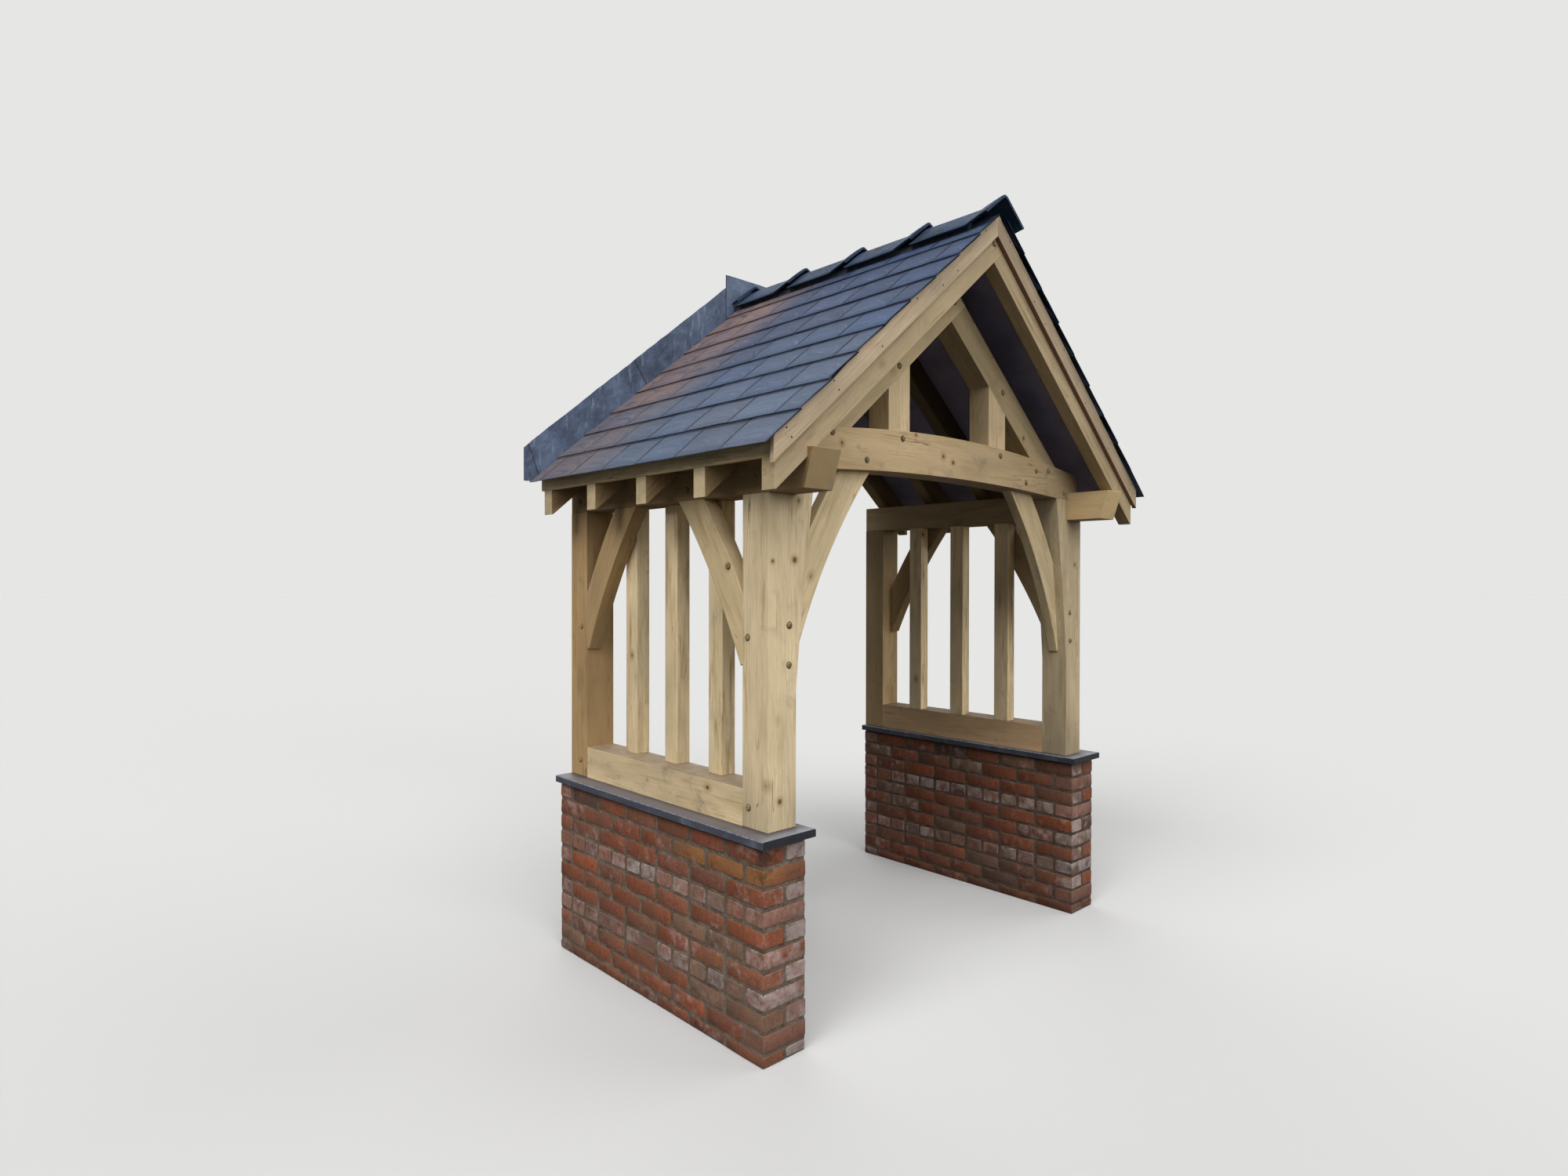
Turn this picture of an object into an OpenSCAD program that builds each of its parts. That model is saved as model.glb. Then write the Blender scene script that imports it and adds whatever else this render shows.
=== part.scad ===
// Gabled oak porch canopy on two brick dwarf walls, with a slated 40 degree roof.
// Millimetres. X runs across the porch, Y back from its open front, Z up from the ground.
// The origin is on the ground, midway between the walls and midway through the depth.
// Inside the modules y = 0 is the back plane, and the porch lies at negative y.

/* [Dwarf walls] */
// Width over the outer faces of the two brick walls
walls_w = 2408; // [2200:1:2800]
// Thickness of each wall, one brick long
wall_t = 215; // [200:1:300]
// How far the walls run forward from the back plane
wall_run = 1470; // [1300:1:1800]
// Height of the brickwork above the ground
wall_h = 794; // [500:1:1000]

/* [Copings] */
// Mortar bed between the brickwork and the coping
coping_bed = 10; // [6:1:20]
// Thickness of the slate coping
coping_t = 30; // [20:1:60]
// How far the coping stands proud of the brickwork
coping_lip = 26; // [10:1:50]
// Radius of the worn upper arris of the coping
coping_arris = 5; // [1:0.5:9]

/* [Posts] */
// Side of every post, plate and rail
post = 144; // [120:1:160]
// Height of the posts from the coping to the underside of the eaves plate
post_h = 1260; // [1100:1:1500]
// How far the posts stand in from the outer face of the brickwork
post_inset = 60; // [30:1:70]
// How far the front posts stand back from the end of the brickwork
front_inset = 44; // [20:1:100]
// Height above the coping at which the front posts begin to flare
jowl_start = 516; // [400:1:700]
// How far the flared post head swells inwards
jowl_out = 102; // [60:1:130]
// Power of the curve of the flare, where 1 is a straight taper
jowl_curve = 1.15; // [1:0.05:2]

/* [Rails and studs] */
// Height of the sill rail that lies on the coping
rail_h = 144; // [100:1:170]
// Width of each stud along the side wall
stud_w = 90; // [60:1:120]
// Thickness of each stud, flush with the inner face of the posts
stud_t = 67; // [40:1:72]
// Number of studs in each side
stud_count = 3; // [2:1:4]

/* [Eaves plates] */
// Depth of the eaves plate
plate_d = 144; // [120:1:170]
// How far the top of the plate runs on past the front post
plate_nose = 234; // [215:1:250]
// How far the raked cut takes the lower corner of the nose back
nose_rake = 45; // [0:1:80]

/* [Tie beam] */
// Thickness of the tie beam, flush with the front of the posts
tie_t = 136; // [125:1:144]
// Depth of the tie beam in the middle
tie_d = 182; // [150:1:220]
// Rise of the arched underside between the post heads
soffit_rise = 32; // [10:1:60]
// Fall of the top edge from the middle to the ends
back_fall = 83; // [40:1:110]
// Depth that the tie beam is let down into the eaves plates
tie_cog = 34; // [15:1:50]
// How far the ends of the tie beam stop short of the outer face
tie_end_inset = 44; // [20:1:80]
// Radius of the rounded top corners of the tie beam
tie_end_round = 45; // [10:1:60]

/* [Front truss] */
// Thickness of the principal rafters and the struts
truss_t = 110; // [80:1:120]
// How far the truss is set back from the face of the tie beam
truss_back = 20; // [5:1:25]
// Depth of the principal rafters, square to their slope
principal_d = 140; // [110:1:160]
// Height of the common rafters' underside above the principals' upper face
principal_gap = 26; // [10:1:60]
// Width of each upright strut
strut_w = 140; // [90:1:160]
// Clear space between the two struts
strut_space = 600; // [450:1:700]

/* [Knee braces] */
// How far the arched edge reaches in from the post, at the springing of the tie beam
knee_reach = 455; // [380:1:520]
// How far below the springing the foot of the brace ends
knee_drop = 812; // [650:1:850]
// Bow of the arched edge off the straight line between its ends
knee_bow = 44; // [20:1:70]
// Width of the brace, square to the arch
knee_w = 144; // [100:1:160]
// Thickness of the brace
knee_t = 50; // [35:1:70]
// How far the brace is set back from the front face of the post
knee_back = 46; // [20:1:60]

/* [Side braces] */
// How far the arched edge reaches along the plate from the post
side_reach = 412; // [300:1:480]
// How far below the plate the foot of the brace ends
side_drop = 650; // [500:1:750]
// Bow of the arched edge off the straight line between its ends
side_bow = 25; // [10:1:50]
// Width of the brace, square to the arch
side_w = 132; // [100:1:150]
// Thickness of the brace, flush with the outer face of the post
side_t = 70; // [40:1:71]
// Width of the square toe at the foot of every brace
toe = 14; // [4:1:25]

/* [Roof frame] */
// Pitch of the roof in degrees
pitch = 40; // [36:0.5:45]
// Depth of the rafters, square to their slope
rafter_d = 125; // [100:1:150]
// Thickness of each common rafter
rafter_w = 70; // [45:1:90]
// Level seat that each rafter takes on the plate
rafter_seat = 41; // [20:1:70]
// Distance from the back plane to the nearest rafter
rafter_first = 27; // [10:1:60]
// Number of common rafters in each slope
rafter_count = 4; // [3:1:5]
// How far the rafter feet run out past the plate
rafter_tail = 159; // [100:1:220]
// Chamfer on the lower corner of the rafter feet
foot_chamfer = 8; // [2:1:15]
// Thickness of the pair of rafters at the open end
barge_w = 65; // [45:1:90]
// Distance from the front of the plate nose back to the front of those rafters
barge_back = 27; // [20:1:35]

/* [Boards] */
// Thickness of the boards at the verge and at the eaves
board_t = 20; // [15:1:26]
// Height of the verge board, measured plumb
barge_board_h = 88; // [60:1:130]
// Height of the eaves board's lower edge above the rafter's lower corner
eaves_board_up = 120; // [60:1:140]

/* [Roof covering] */
// Thickness of the sheet laid over the rafters
underlay_t = 1; // [1:0.5:3]
// Thickness of the battens
batten_t = 25; // [19:1:32]
// Width of the battens up the slope
batten_w = 38; // [25:1:50]
// Least distance down the slope from the ridge to a batten
batten_start = 76; // [40:1:120]
// Thickness of one slate
slate_t = 6.5; // [5:0.5:9]
// Height of slate that shows in each course
gauge = 195; // [150:1:240]
// How far the lowest slates run out past the rafter feet, measured level
slate_tail = 58; // [30:1:80]
// How far the slates run out past the verge board
verge = 35; // [20:1:60]

/* [Ridge] */
// Thickness of the ridge tiles
ridge_t = 14; // [10:1:18]
// Level half width of a ridge tile
ridge_half_w = 140; // [110:1:160]
// Height of the mortar bed between the slates and the ridge tiles, measured plumb
ridge_bed = 18; // [8:1:25]
// Width of each strip of mortar under the ridge tiles, measured level
bedding_w = 28; // [15:1:45]
// How far the mortar stands back from the edges of the ridge tiles, measured level
bedding_back = 28; // [15:1:45]
// Length of ridge that each tile covers
ridge_pitch = 409; // [330:1:450]
// Length of the raised hood at the front end of each tile
hood_l = 115; // [80:1:150]
// How far each hood laps over the tile in front of it
hood_lap = 12; // [6:1:25]
// Mortar gap between a hood and the tile that it laps
hood_gap = 1; // [0.5:0.5:3]
// How far the first ridge tile stands out past the slates
ridge_past = 3; // [1:1:20]

/* [Lead] */
// Thickness of the lead sheets
lead_t = 4; // [2:0.5:6]
// Height of the lead above the slates, measured plumb
lead_up = 175; // [120:1:220]
// How far the lead runs on past the lowest slate
lead_past = 33; // [10:1:60]
// Width of the saddle piece over the ridge
saddle_w = 370; // [320:1:420]
// How far each flashing runs on behind the saddle piece, measured level
saddle_lap = 92; // [60:1:130]
// Height of the saddle piece above the top of the ridge tiles
saddle_up = 56; // [30:1:100]

/* [Hidden] */

// Colours as they show
brick_red = [0.62, 0.36, 0.24];
coping_grey = [0.24, 0.27, 0.31];
green_oak = [0.82, 0.72, 0.52];
board_oak = [0.85, 0.74, 0.58];
slate_grey = [0.47, 0.50, 0.57];
ridge_grey = [0.26, 0.29, 0.34];
lead_grey = [0.35, 0.38, 0.43];
sheet_navy = [0.14, 0.15, 0.22];
mortar_grey = [0.55, 0.53, 0.50];

// Levels above the ground
slope = tan(pitch);
coping_z = wall_h + coping_bed + coping_t;
rail_z = coping_z + rail_h;
plate_z = coping_z + post_h;
plate_top = plate_z + plate_d;
tie_z = plate_top - tie_cog;

// Places across the porch, on its right half
wall_out = walls_w / 2;
post_out = wall_out - post_inset;
post_in = post_out - post;
jowl_in = post_in - jowl_out;
tie_end = post_out - tie_end_inset;
rafter_end = post_out + rafter_tail;
eaves_in = rafter_end - board_t;

// Places forward of the back plane
post_front = -(wall_run - front_inset);
post_back = post_front + post;
nose_front = post_front - plate_nose;
truss_front = post_front + truss_back;
barge_front = nose_front + barge_back;
barge_rear = barge_front + barge_w;
board_front = barge_front - board_t;
slate_front = board_front - verge;
ridge_front = slate_front - ridge_past;
saddle_front = -2 * lead_t;
depth = -ridge_front;
rafter_step = (-barge_rear - rafter_first) / rafter_count;

// Slates that lie on each other at the tail of a course
tail_layers = 3;

// Heights of the roof's planes on the centre line
rafter_lo = plate_top + (post_out - rafter_seat) * slope;
rafter_hi = rafter_lo + rafter_d / cos(pitch);
underlay_hi = rafter_hi + underlay_t / cos(pitch);
batten_hi = underlay_hi + batten_t / cos(pitch);
slate_hi = batten_hi + tail_layers * slate_t / cos(pitch);
principal_hi = rafter_lo - principal_gap;
principal_lo = principal_hi - principal_d / cos(pitch);
ridge_in = slate_hi + ridge_bed;
ridge_top = ridge_in + ridge_t / cos(pitch);

// Sweep of the polygons that stand for curves
arch_steps = 24;
round_steps = 6;
// Margin by which a cutting solid runs past the piece that it cuts
past = 400;
// Degrees by which the arcs of a brace run on past the post, before it is cut to fit
brace_past = 4;

// Height at x of a line that falls along the roof from the height z on the centre line
function fall(z, x) = z - slope * x;

// Parabola that falls from 0 in the middle to -drop at x = half
function camber(x, half, drop) = -drop * pow(x / half, 2);

// Points of an arc with centre c and radius r, from angle a to angle b
function arc(c, r, a, b, steps) =
    [for (i = [0:steps]) let (t = a + (b - a) * i / steps) c + r * [cos(t), sin(t)]];

// Outline of a brace in the corner at the origin, between a post on the line x = 0
// and a beam on the line y = 0. Both long edges are arcs with one centre: the inner
// one runs from [-reach, 0] to [-toe, -drop] and bows out by bow.
function brace_outline(reach, drop, bow, w) =
    let (
        a = [-reach, 0], b = [-toe, -drop],
        chord = b - a, length = norm(chord),
        out = [-chord[1], chord[0]] / length,
        r = length * length / (8 * bow) + bow / 2,
        c = (a + b) / 2 - (r - bow) * out,
        start = atan2(a[1] - c[1], a[0] - c[0]) + brace_past,
        end = atan2(b[1] - c[1], b[0] - c[0])
    )
    concat(arc(c, r, start, end, arch_steps), arc(c, r + w, end, start, arch_steps));

// Inner face of a jowled post: straight to jowl_start, then flaring in to the tie beam
function jowl_points() =
    let (from = coping_z + jowl_start, rise = tie_z - from)
    [for (i = [0:round_steps]) let (t = i / round_steps)
        [post_in - jowl_out * pow(t, jowl_curve), from + rise * t]];

// Arched underside of the tie beam between the post heads, from right to left
function soffit_points() =
    [for (i = [0:arch_steps]) let (x = jowl_in * (1 - 2 * i / arch_steps))
        [x, tie_z + soffit_rise + camber(x, jowl_in, soffit_rise)]];

// Top edge of the tie beam with its rounded ends, from left to right
tie_top = tie_z + soffit_rise + tie_d;
function back_points() =
    let (
        flat = tie_end - tie_end_round,
        z = tie_top + camber(flat, tie_end, back_fall)
    )
    concat(
        arc([-flat, z - tie_end_round], tie_end_round, 180, 90, round_steps),
        [for (i = [1:arch_steps - 1]) let (x = flat * (2 * i / arch_steps - 1))
            [x, tie_top + camber(x, tie_end, back_fall)]],
        arc([flat, z - tie_end_round], tie_end_round, 90, 0, round_steps)
    );

// Outline in the plane of the gable of one rafter of a pair, on the right slope, with
// the tongue that crosses the centre line to lap its partner. Its foot is given.
function rafter_outline(lo, hi, foot) =
    concat([[-(hi - lo) / slope / 2, (lo + hi) / 2], [0, hi]], foot);

// A flat outline in x and z, extruded in y from y0 over the thickness t
module in_gable(points, y0, t) {
    translate([0, y0 + t, 0]) rotate([90, 0, 0]) linear_extrude(t) polygon(points);
}

// A flat outline in y and z, extruded in x from x0 over the thickness t
module in_side(points, x0, t) {
    translate([x0, 0, 0]) rotate([90, 0, 90]) linear_extrude(t) polygon(points);
}

// A box between two corners
module block(from, to) {
    translate(from) cube(to - from);
}

// Puts a piece of the right half on side 1, the right, or on side -1, the left,
// and moves the origin from the back plane to the middle of the depth
module placed(side = 1) {
    translate([0, depth / 2, 0]) mirror([side < 0 ? 1 : 0, 0, 0]) children();
}

module brick_wall() {
    color(brick_red) block([wall_out - wall_t, -wall_run, 0], [wall_out, 0, wall_h + coping_bed]);
}

module coping() {
    left = wall_out - wall_t - coping_lip;
    right = wall_out + coping_lip;
    r = coping_arris;
    profile = concat(
        [[left, coping_z - coping_t], [right, coping_z - coping_t]],
        arc([right - r, coping_z - r], r, 0, 90, round_steps),
        arc([left + r, coping_z - r], r, 90, 180, round_steps)
    );
    color(coping_grey) in_gable(profile, -wall_run - coping_lip, wall_run + coping_lip);
}

module sill_rail() {
    color(green_oak) block([post_in, post_back, coping_z], [post_out, -post, rail_z]);
}

module rear_post() {
    color(green_oak) block([post_in, -post, coping_z], [post_out, 0, plate_z]);
}

// Post whose head flares inwards, so that it carries the plate and the tie beam
module front_post() {
    outline = concat(
        [[post_in, coping_z], [post_out, coping_z], [post_out, plate_z], [post_in, plate_z],
            [post_in, tie_z]],
        [for (i = [round_steps:-1:0]) jowl_points()[i]]
    );
    color(green_oak) in_gable(outline, post_front, post);
}

module studs() {
    run = -post - post_back;
    space = (run - stud_count * stud_w) / (stud_count + 1);
    color(green_oak) for (i = [0:stud_count - 1]) {
        back = -post - space * (i + 1) - stud_w * i;
        block([post_in, back - stud_w, rail_z], [post_in + stud_t, back, plate_z]);
    }
}

module tie_beam() {
    outline = concat(
        [[-tie_end, tie_z]], back_points(), [[tie_end, tie_z]], soffit_points()
    );
    color(green_oak) in_gable(outline, post_front, tie_t);
}

// Everything below the top edge of the tie beam, to cut what stands on it
module below_tie_top() {
    outline = concat([[-tie_end, tie_z - past]], back_points(), [[tie_end, tie_z - past]]);
    in_gable(outline, post_front, tie_t);
}

// Plate with a raked nose, and a trench in its top that the tie beam is cogged into
module eaves_plate() {
    outline = [[0, plate_z], [0, plate_top], [nose_front, plate_top], [nose_front + nose_rake, plate_z]];
    color(green_oak) difference() {
        in_side(outline, post_in, post);
        block([post_in - past, post_front, tie_z], [tie_end, post_front + tie_t, plate_top + past]);
    }
}

// Brace between a post and the plate, in the plane of the side wall
module side_brace(front) {
    corner = front ? post_back : -post;
    turn = front ? -1 : 1;
    local = brace_outline(side_reach, side_drop, side_bow, side_w);
    outline = [for (p = local) [corner + turn * p[0], plate_z + p[1]]];
    color(green_oak) difference() {
        in_side(outline, post_out - side_t, side_t);
        block([0, post_front - past, plate_z], [post_out + past, past, plate_z + past]);
        block([0, front ? post_back - past : -post, 0],
            [post_out + past, front ? post_back : past, plate_z + past]);
    }
}

// Arched brace from the post head to the tie beam, cut to the flare and to the arch
module knee_brace() {
    local = brace_outline(knee_reach, knee_drop, knee_bow, knee_w);
    outline = [for (p = local) [post_in + p[0], tie_z + p[1]]];
    head = concat(
        [[-tie_end, tie_z], [-tie_end, tie_top + past], [tie_end, tie_top + past], [tie_end, tie_z]],
        soffit_points()
    );
    cheek = concat(
        [[post_out + past, 0], [post_out + past, tie_z + past], [jowl_in, tie_z + past]],
        [for (i = [round_steps:-1:0]) jowl_points()[i]], [[post_in, 0]]
    );
    color(green_oak) difference() {
        in_gable(outline, post_front + knee_back, knee_t);
        in_gable(head, post_front, tie_t);
        in_gable(cheek, post_front, post);
    }
}

// One rafter of a pair with a halved joint at the ridge. The tongue is in the half
// that faces the front on the left slope, and in the other half on the right. The
// half without it stops under the partner's lower edge.
module lapped_rafter(lo, hi, foot, y0, t, side) {
    bare_half = side < 0 ? y0 + t / 2 : y0 - past;
    over = [[-past, lo - past * slope], [past, lo + past * slope], [-past, lo + past * slope]];
    difference() {
        in_gable(rafter_outline(lo, hi, foot), y0, t);
        in_gable(over, bare_half, t / 2 + past);
    }
}

module principal_rafter(side) {
    foot = [[tie_end, fall(principal_hi, tie_end)], [tie_end, fall(principal_lo, tie_end)]];
    color(green_oak) difference() {
        lapped_rafter(principal_lo, principal_hi, foot, truss_front, truss_t, side);
        below_tie_top();
    }
}

module queen_strut() {
    inner = strut_space / 2;
    outer = inner + strut_w;
    outline = [[inner, tie_z], [outer, tie_z], [outer, fall(principal_lo, outer)],
        [inner, fall(principal_lo, inner)]];
    color(green_oak) difference() {
        in_gable(outline, truss_front, truss_t);
        below_tie_top();
    }
}

// Space taken by the eaves board, which is let flush into the rafter feet
module eaves_board_blank() {
    bottom = fall(rafter_lo, rafter_end) + eaves_board_up;
    outline = [[eaves_in, bottom], [rafter_end, bottom], [rafter_end, fall(batten_hi, rafter_end)],
        [eaves_in, fall(batten_hi, eaves_in)]];
    in_gable(outline, barge_front + board_t, -barge_front - board_t);
}

// Rafter with its mouth cut over the plate and its foot rebated for the eaves board
module seated_rafter(y0, t, side) {
    heel = rafter_end - foot_chamfer;
    foot = [
        [rafter_end, fall(rafter_hi, rafter_end)], [rafter_end, fall(rafter_lo, heel)],
        [heel, fall(rafter_lo, heel)], [post_out, fall(rafter_lo, post_out)],
        [post_out, plate_top], [post_out - rafter_seat, plate_top]
    ];
    difference() {
        lapped_rafter(rafter_lo, rafter_hi, foot, y0, t, side);
        eaves_board_blank();
    }
}

module rafters(side) {
    color(green_oak) for (i = [0:rafter_count - 1]) {
        seated_rafter(-rafter_first - rafter_step * i - rafter_w, rafter_w, side);
    }
}

module barge_rafter(side) {
    color(green_oak) seated_rafter(barge_front, barge_w, side);
}

module barge_board() {
    end = rafter_end + board_t;
    low = batten_hi - barge_board_h;
    outline = [[0, low], [0, batten_hi], [end, fall(batten_hi, end)], [end, fall(low, end)]];
    color(board_oak) in_gable(outline, board_front, board_t);
}

module eaves_board() {
    color(board_oak) eaves_board_blank();
}

module underlay() {
    outline = [[0, rafter_hi], [0, underlay_hi], [eaves_in, fall(underlay_hi, eaves_in)],
        [eaves_in, fall(rafter_hi, eaves_in)]];
    color(sheet_navy) in_gable(outline, barge_front, -barge_front);
}

// A point on the right slope: s down the slope from the ridge, h square off the battens
function on_slope(s, h) =
    [s * cos(pitch) + h * sin(pitch), batten_hi - s * sin(pitch) + h * cos(pitch)];

slate_end = (rafter_end + slate_tail) / cos(pitch);
course_count = floor(slate_end / gauge);

module battens() {
    color(board_oak) for (i = [0:course_count - 1]) {
        s = slate_end - gauge * (i + 1) + batten_w;
        if (s > batten_start && s + batten_w < eaves_in / cos(pitch)) {
            outline = [on_slope(s, -batten_t), on_slope(s + batten_w, -batten_t),
                on_slope(s + batten_w, 0), on_slope(s, 0)];
            in_gable(outline, barge_front, -barge_front);
        }
    }
}

// Slates in courses: each course falls by one slate's thickness up the slope and
// the next tail stands that much higher
module slate_blank() {
    low = (tail_layers - 1) * slate_t;
    high = tail_layers * slate_t;
    steps = [for (i = [1:course_count]) let (s = slate_end - gauge * i) each
        [on_slope(s, low), on_slope(s, high)]];
    outline = concat(
        [[0, batten_hi], on_slope(slate_end, 0), on_slope(slate_end, low)], steps,
        [[0, batten_hi + low / cos(pitch)]]
    );
    in_gable(outline, slate_front, -lead_t - slate_front);
}

module slates() {
    color(slate_grey) slate_blank();
}

// Outline of a ridge tile whose crest is at z
function ridge_outline(z) =
    let (foot = [ridge_half_w, fall(z, ridge_half_w)], in = -ridge_t * [sin(pitch), cos(pitch)])
    [[0, z], foot, foot + in, [0, z - ridge_t / cos(pitch)],
        [-foot[0] - in[0], foot[1] + in[1]], [-foot[0], foot[1]]];

// The hood rises to clear the tile that it laps
hood_rise = (ridge_t / cos(pitch) + hood_gap) * hood_l / (hood_l - hood_lap);
hood_tilt = atan(hood_rise / hood_l);

// The hood's outline, lowered so that its slopes keep the pitch once it is tilted
hood_outline = [for (p = ridge_outline(0)) [p[0], p[1] * cos(hood_tilt)]];

// One ridge tile with its front end at y0, cut off at the lead behind it
module ridge_tile(y0) {
    root = y0 + hood_l;
    rear = min(y0 + ridge_pitch + hood_lap, saddle_front);
    if (rear > root) in_gable(ridge_outline(ridge_top), root, rear - root);
    intersection() {
        block([-past, y0, 0], [past, min(root, rear), ridge_top + past]);
        translate([0, root, ridge_top]) rotate([-hood_tilt, 0, 0])
            in_gable(hood_outline, -past, 2 * past);
    }
}

module ridge_tiles() {
    color(ridge_grey) for (y0 = [ridge_front:ridge_pitch:saddle_front - hood_lap]) ridge_tile(y0);
}

// Strips of mortar under both edges of the ridge tiles
module ridge_bedding() {
    outer = ridge_half_w - bedding_back;
    inner = outer - bedding_w;
    outline = [[inner, fall(ridge_in, inner)], [outer, fall(ridge_in, outer)],
        [outer, fall(batten_hi, outer) + slate_t], [inner, fall(batten_hi, inner) + slate_t]];
    color(mortar_grey) for (side = [-1, 1]) placed(side) difference() {
        in_gable(outline, slate_front + hood_l, saddle_front - slate_front - hood_l);
        slate_blank();
    }
}

module flashing() {
    end = rafter_end + slate_tail + lead_past;
    start = saddle_w / 2 - saddle_lap;
    top = slate_hi + lead_up;
    outline = [[start, fall(batten_hi, start)], [start, fall(top, start)], [end, fall(top, end)],
        [end, fall(batten_hi, end)]];
    color(lead_grey) in_gable(outline, -lead_t, lead_t);
}

module ridge_saddle() {
    half = saddle_w / 2;
    top = ridge_top + saddle_up;
    outline = [[-half, fall(slate_hi, half)], [-half, top], [half, top], [half, fall(slate_hi, half)],
        [0, slate_hi]];
    color(lead_grey) in_gable(outline, saddle_front, lead_t);
}

placed(-1) brick_wall();  // brick_wall_left
placed(1) brick_wall();  // brick_wall_right
placed(-1) coping();  // coping_left
placed(1) coping();  // coping_right
placed(-1) sill_rail();  // sill_rail_left
placed(1) sill_rail();  // sill_rail_right
placed(-1) front_post();  // front_post_left
placed(1) front_post();  // front_post_right
placed(-1) rear_post();  // rear_post_left
placed(1) rear_post();  // rear_post_right
placed(-1) studs();  // studs_left
placed(1) studs();  // studs_right
placed(-1) eaves_plate();  // eaves_plate_left
placed(1) eaves_plate();  // eaves_plate_right
placed(-1) side_brace(true);  // side_brace_front_left
placed(1) side_brace(true);  // side_brace_front_right
placed(-1) side_brace(false);  // side_brace_rear_left
placed(1) side_brace(false);  // side_brace_rear_right
placed(-1) knee_brace();  // knee_brace_left
placed(1) knee_brace();  // knee_brace_right
placed() tie_beam();
placed(-1) principal_rafter(-1);  // principal_rafter_left
placed(1) principal_rafter(1);  // principal_rafter_right
placed(-1) queen_strut();  // queen_strut_left
placed(1) queen_strut();  // queen_strut_right
placed(-1) rafters(-1);  // rafters_left
placed(1) rafters(1);  // rafters_right
placed(-1) barge_rafter(-1);  // barge_rafter_left
placed(1) barge_rafter(1);  // barge_rafter_right
placed(-1) barge_board();  // barge_board_left
placed(1) barge_board();  // barge_board_right
placed(-1) eaves_board();  // eaves_board_left
placed(1) eaves_board();  // eaves_board_right
placed(-1) underlay();  // underlay_left
placed(1) underlay();  // underlay_right
placed(-1) battens();  // battens_left
placed(1) battens();  // battens_right
placed(-1) slates();  // slates_left
placed(1) slates();  // slates_right
ridge_bedding();
placed() ridge_tiles();
placed(-1) flashing();  // flashing_left
placed(1) flashing();  // flashing_right
placed() ridge_saddle();
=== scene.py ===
"""Looks for a gabled oak porch canopy: brickwork, oak frame, slates, ridge tiles and lead.

Everything is in metres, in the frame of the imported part: x across the porch, y back from its
open front, z up. Angles are in radians unless a name says degrees. Each sub-assembly is a class
with its sizes as fields; the surfaces are worked out with numpy as whole arrays.
"""
import logging
import math
from dataclasses import dataclass, field
from enum import Enum
from functools import reduce
from typing import Any, ClassVar, Dict, List, Optional, Sequence, Tuple, Union

import bmesh
import bpy
import numpy as np
from mathutils import Matrix, Vector


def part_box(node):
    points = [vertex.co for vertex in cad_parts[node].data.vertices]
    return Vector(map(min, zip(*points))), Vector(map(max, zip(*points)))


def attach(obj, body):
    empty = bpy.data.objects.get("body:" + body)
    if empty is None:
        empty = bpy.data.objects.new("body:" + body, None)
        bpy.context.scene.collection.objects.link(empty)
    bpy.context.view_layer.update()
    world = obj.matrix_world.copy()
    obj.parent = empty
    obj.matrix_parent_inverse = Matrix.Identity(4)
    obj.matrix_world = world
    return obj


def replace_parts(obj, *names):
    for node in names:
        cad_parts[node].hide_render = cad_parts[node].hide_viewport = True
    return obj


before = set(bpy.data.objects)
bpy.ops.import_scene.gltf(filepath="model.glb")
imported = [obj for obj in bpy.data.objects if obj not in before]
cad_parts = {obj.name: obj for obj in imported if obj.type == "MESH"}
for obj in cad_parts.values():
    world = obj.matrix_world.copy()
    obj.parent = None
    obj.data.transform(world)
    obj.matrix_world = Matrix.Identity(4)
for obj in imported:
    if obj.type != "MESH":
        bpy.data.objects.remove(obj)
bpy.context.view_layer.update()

LOG = logging.getLogger("porch")
Material = bpy.types.Material
Socket = bpy.types.NodeSocket
Value = Union[float, Socket]
Triple = Tuple[float, float, float]
Colour = Tuple[float, float, float, float]
Pairs = Tuple[Tuple[float, float], ...]

PITCH = math.radians(40.0)
SLOPE = math.tan(PITCH)

# Faces of the frame: of the posts and the tie beam, of the truss over it, and of the sides.
POST_FACE = -0.5805
TRUSS_FACE = -0.5605
SIDE_FACE = 1.144


class Side(Enum):
    """The two halves of the porch, with the sign of x on each."""

    LEFT = -1.0
    RIGHT = 1.0

    @property
    def word(self) -> str:
        """The side's name as it ends a node's name."""
        return self.name.lower()

    def own(self, pair: Sequence[Any]) -> Any:
        """This side's one of a pair that gives the left one first."""
        return pair[0 if self is Side.LEFT else 1]


class Run(Enum):
    """The direction that the grain of a timber runs in."""

    ACROSS = (1.0, 0.0, 0.0)
    BACK = (0.0, 1.0, 0.0)
    UP = (0.0, 0.0, 1.0)
    LEFT_SLOPE = (math.cos(PITCH), 0.0, math.sin(PITCH))
    RIGHT_SLOPE = (math.cos(PITCH), 0.0, -math.sin(PITCH))
    LEFT_KNEE = (0.48, 0.0, 0.877)
    RIGHT_KNEE = (-0.48, 0.0, 0.877)
    FRONT_BRACE = (0.0, 0.522, 0.853)
    REAR_BRACE = (0.0, -0.522, 0.853)


SLOPES = (Run.LEFT_SLOPE, Run.RIGHT_SLOPE)


class Bond(Enum):
    """How one course of a wall one brick thick is laid."""

    PAIRS = "two rows of stretchers"
    CORNER_HEADER = "a header at the front, then two rows of stretchers"
    HEADERS = "headers through the wall"


# Colours and noise.


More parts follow.
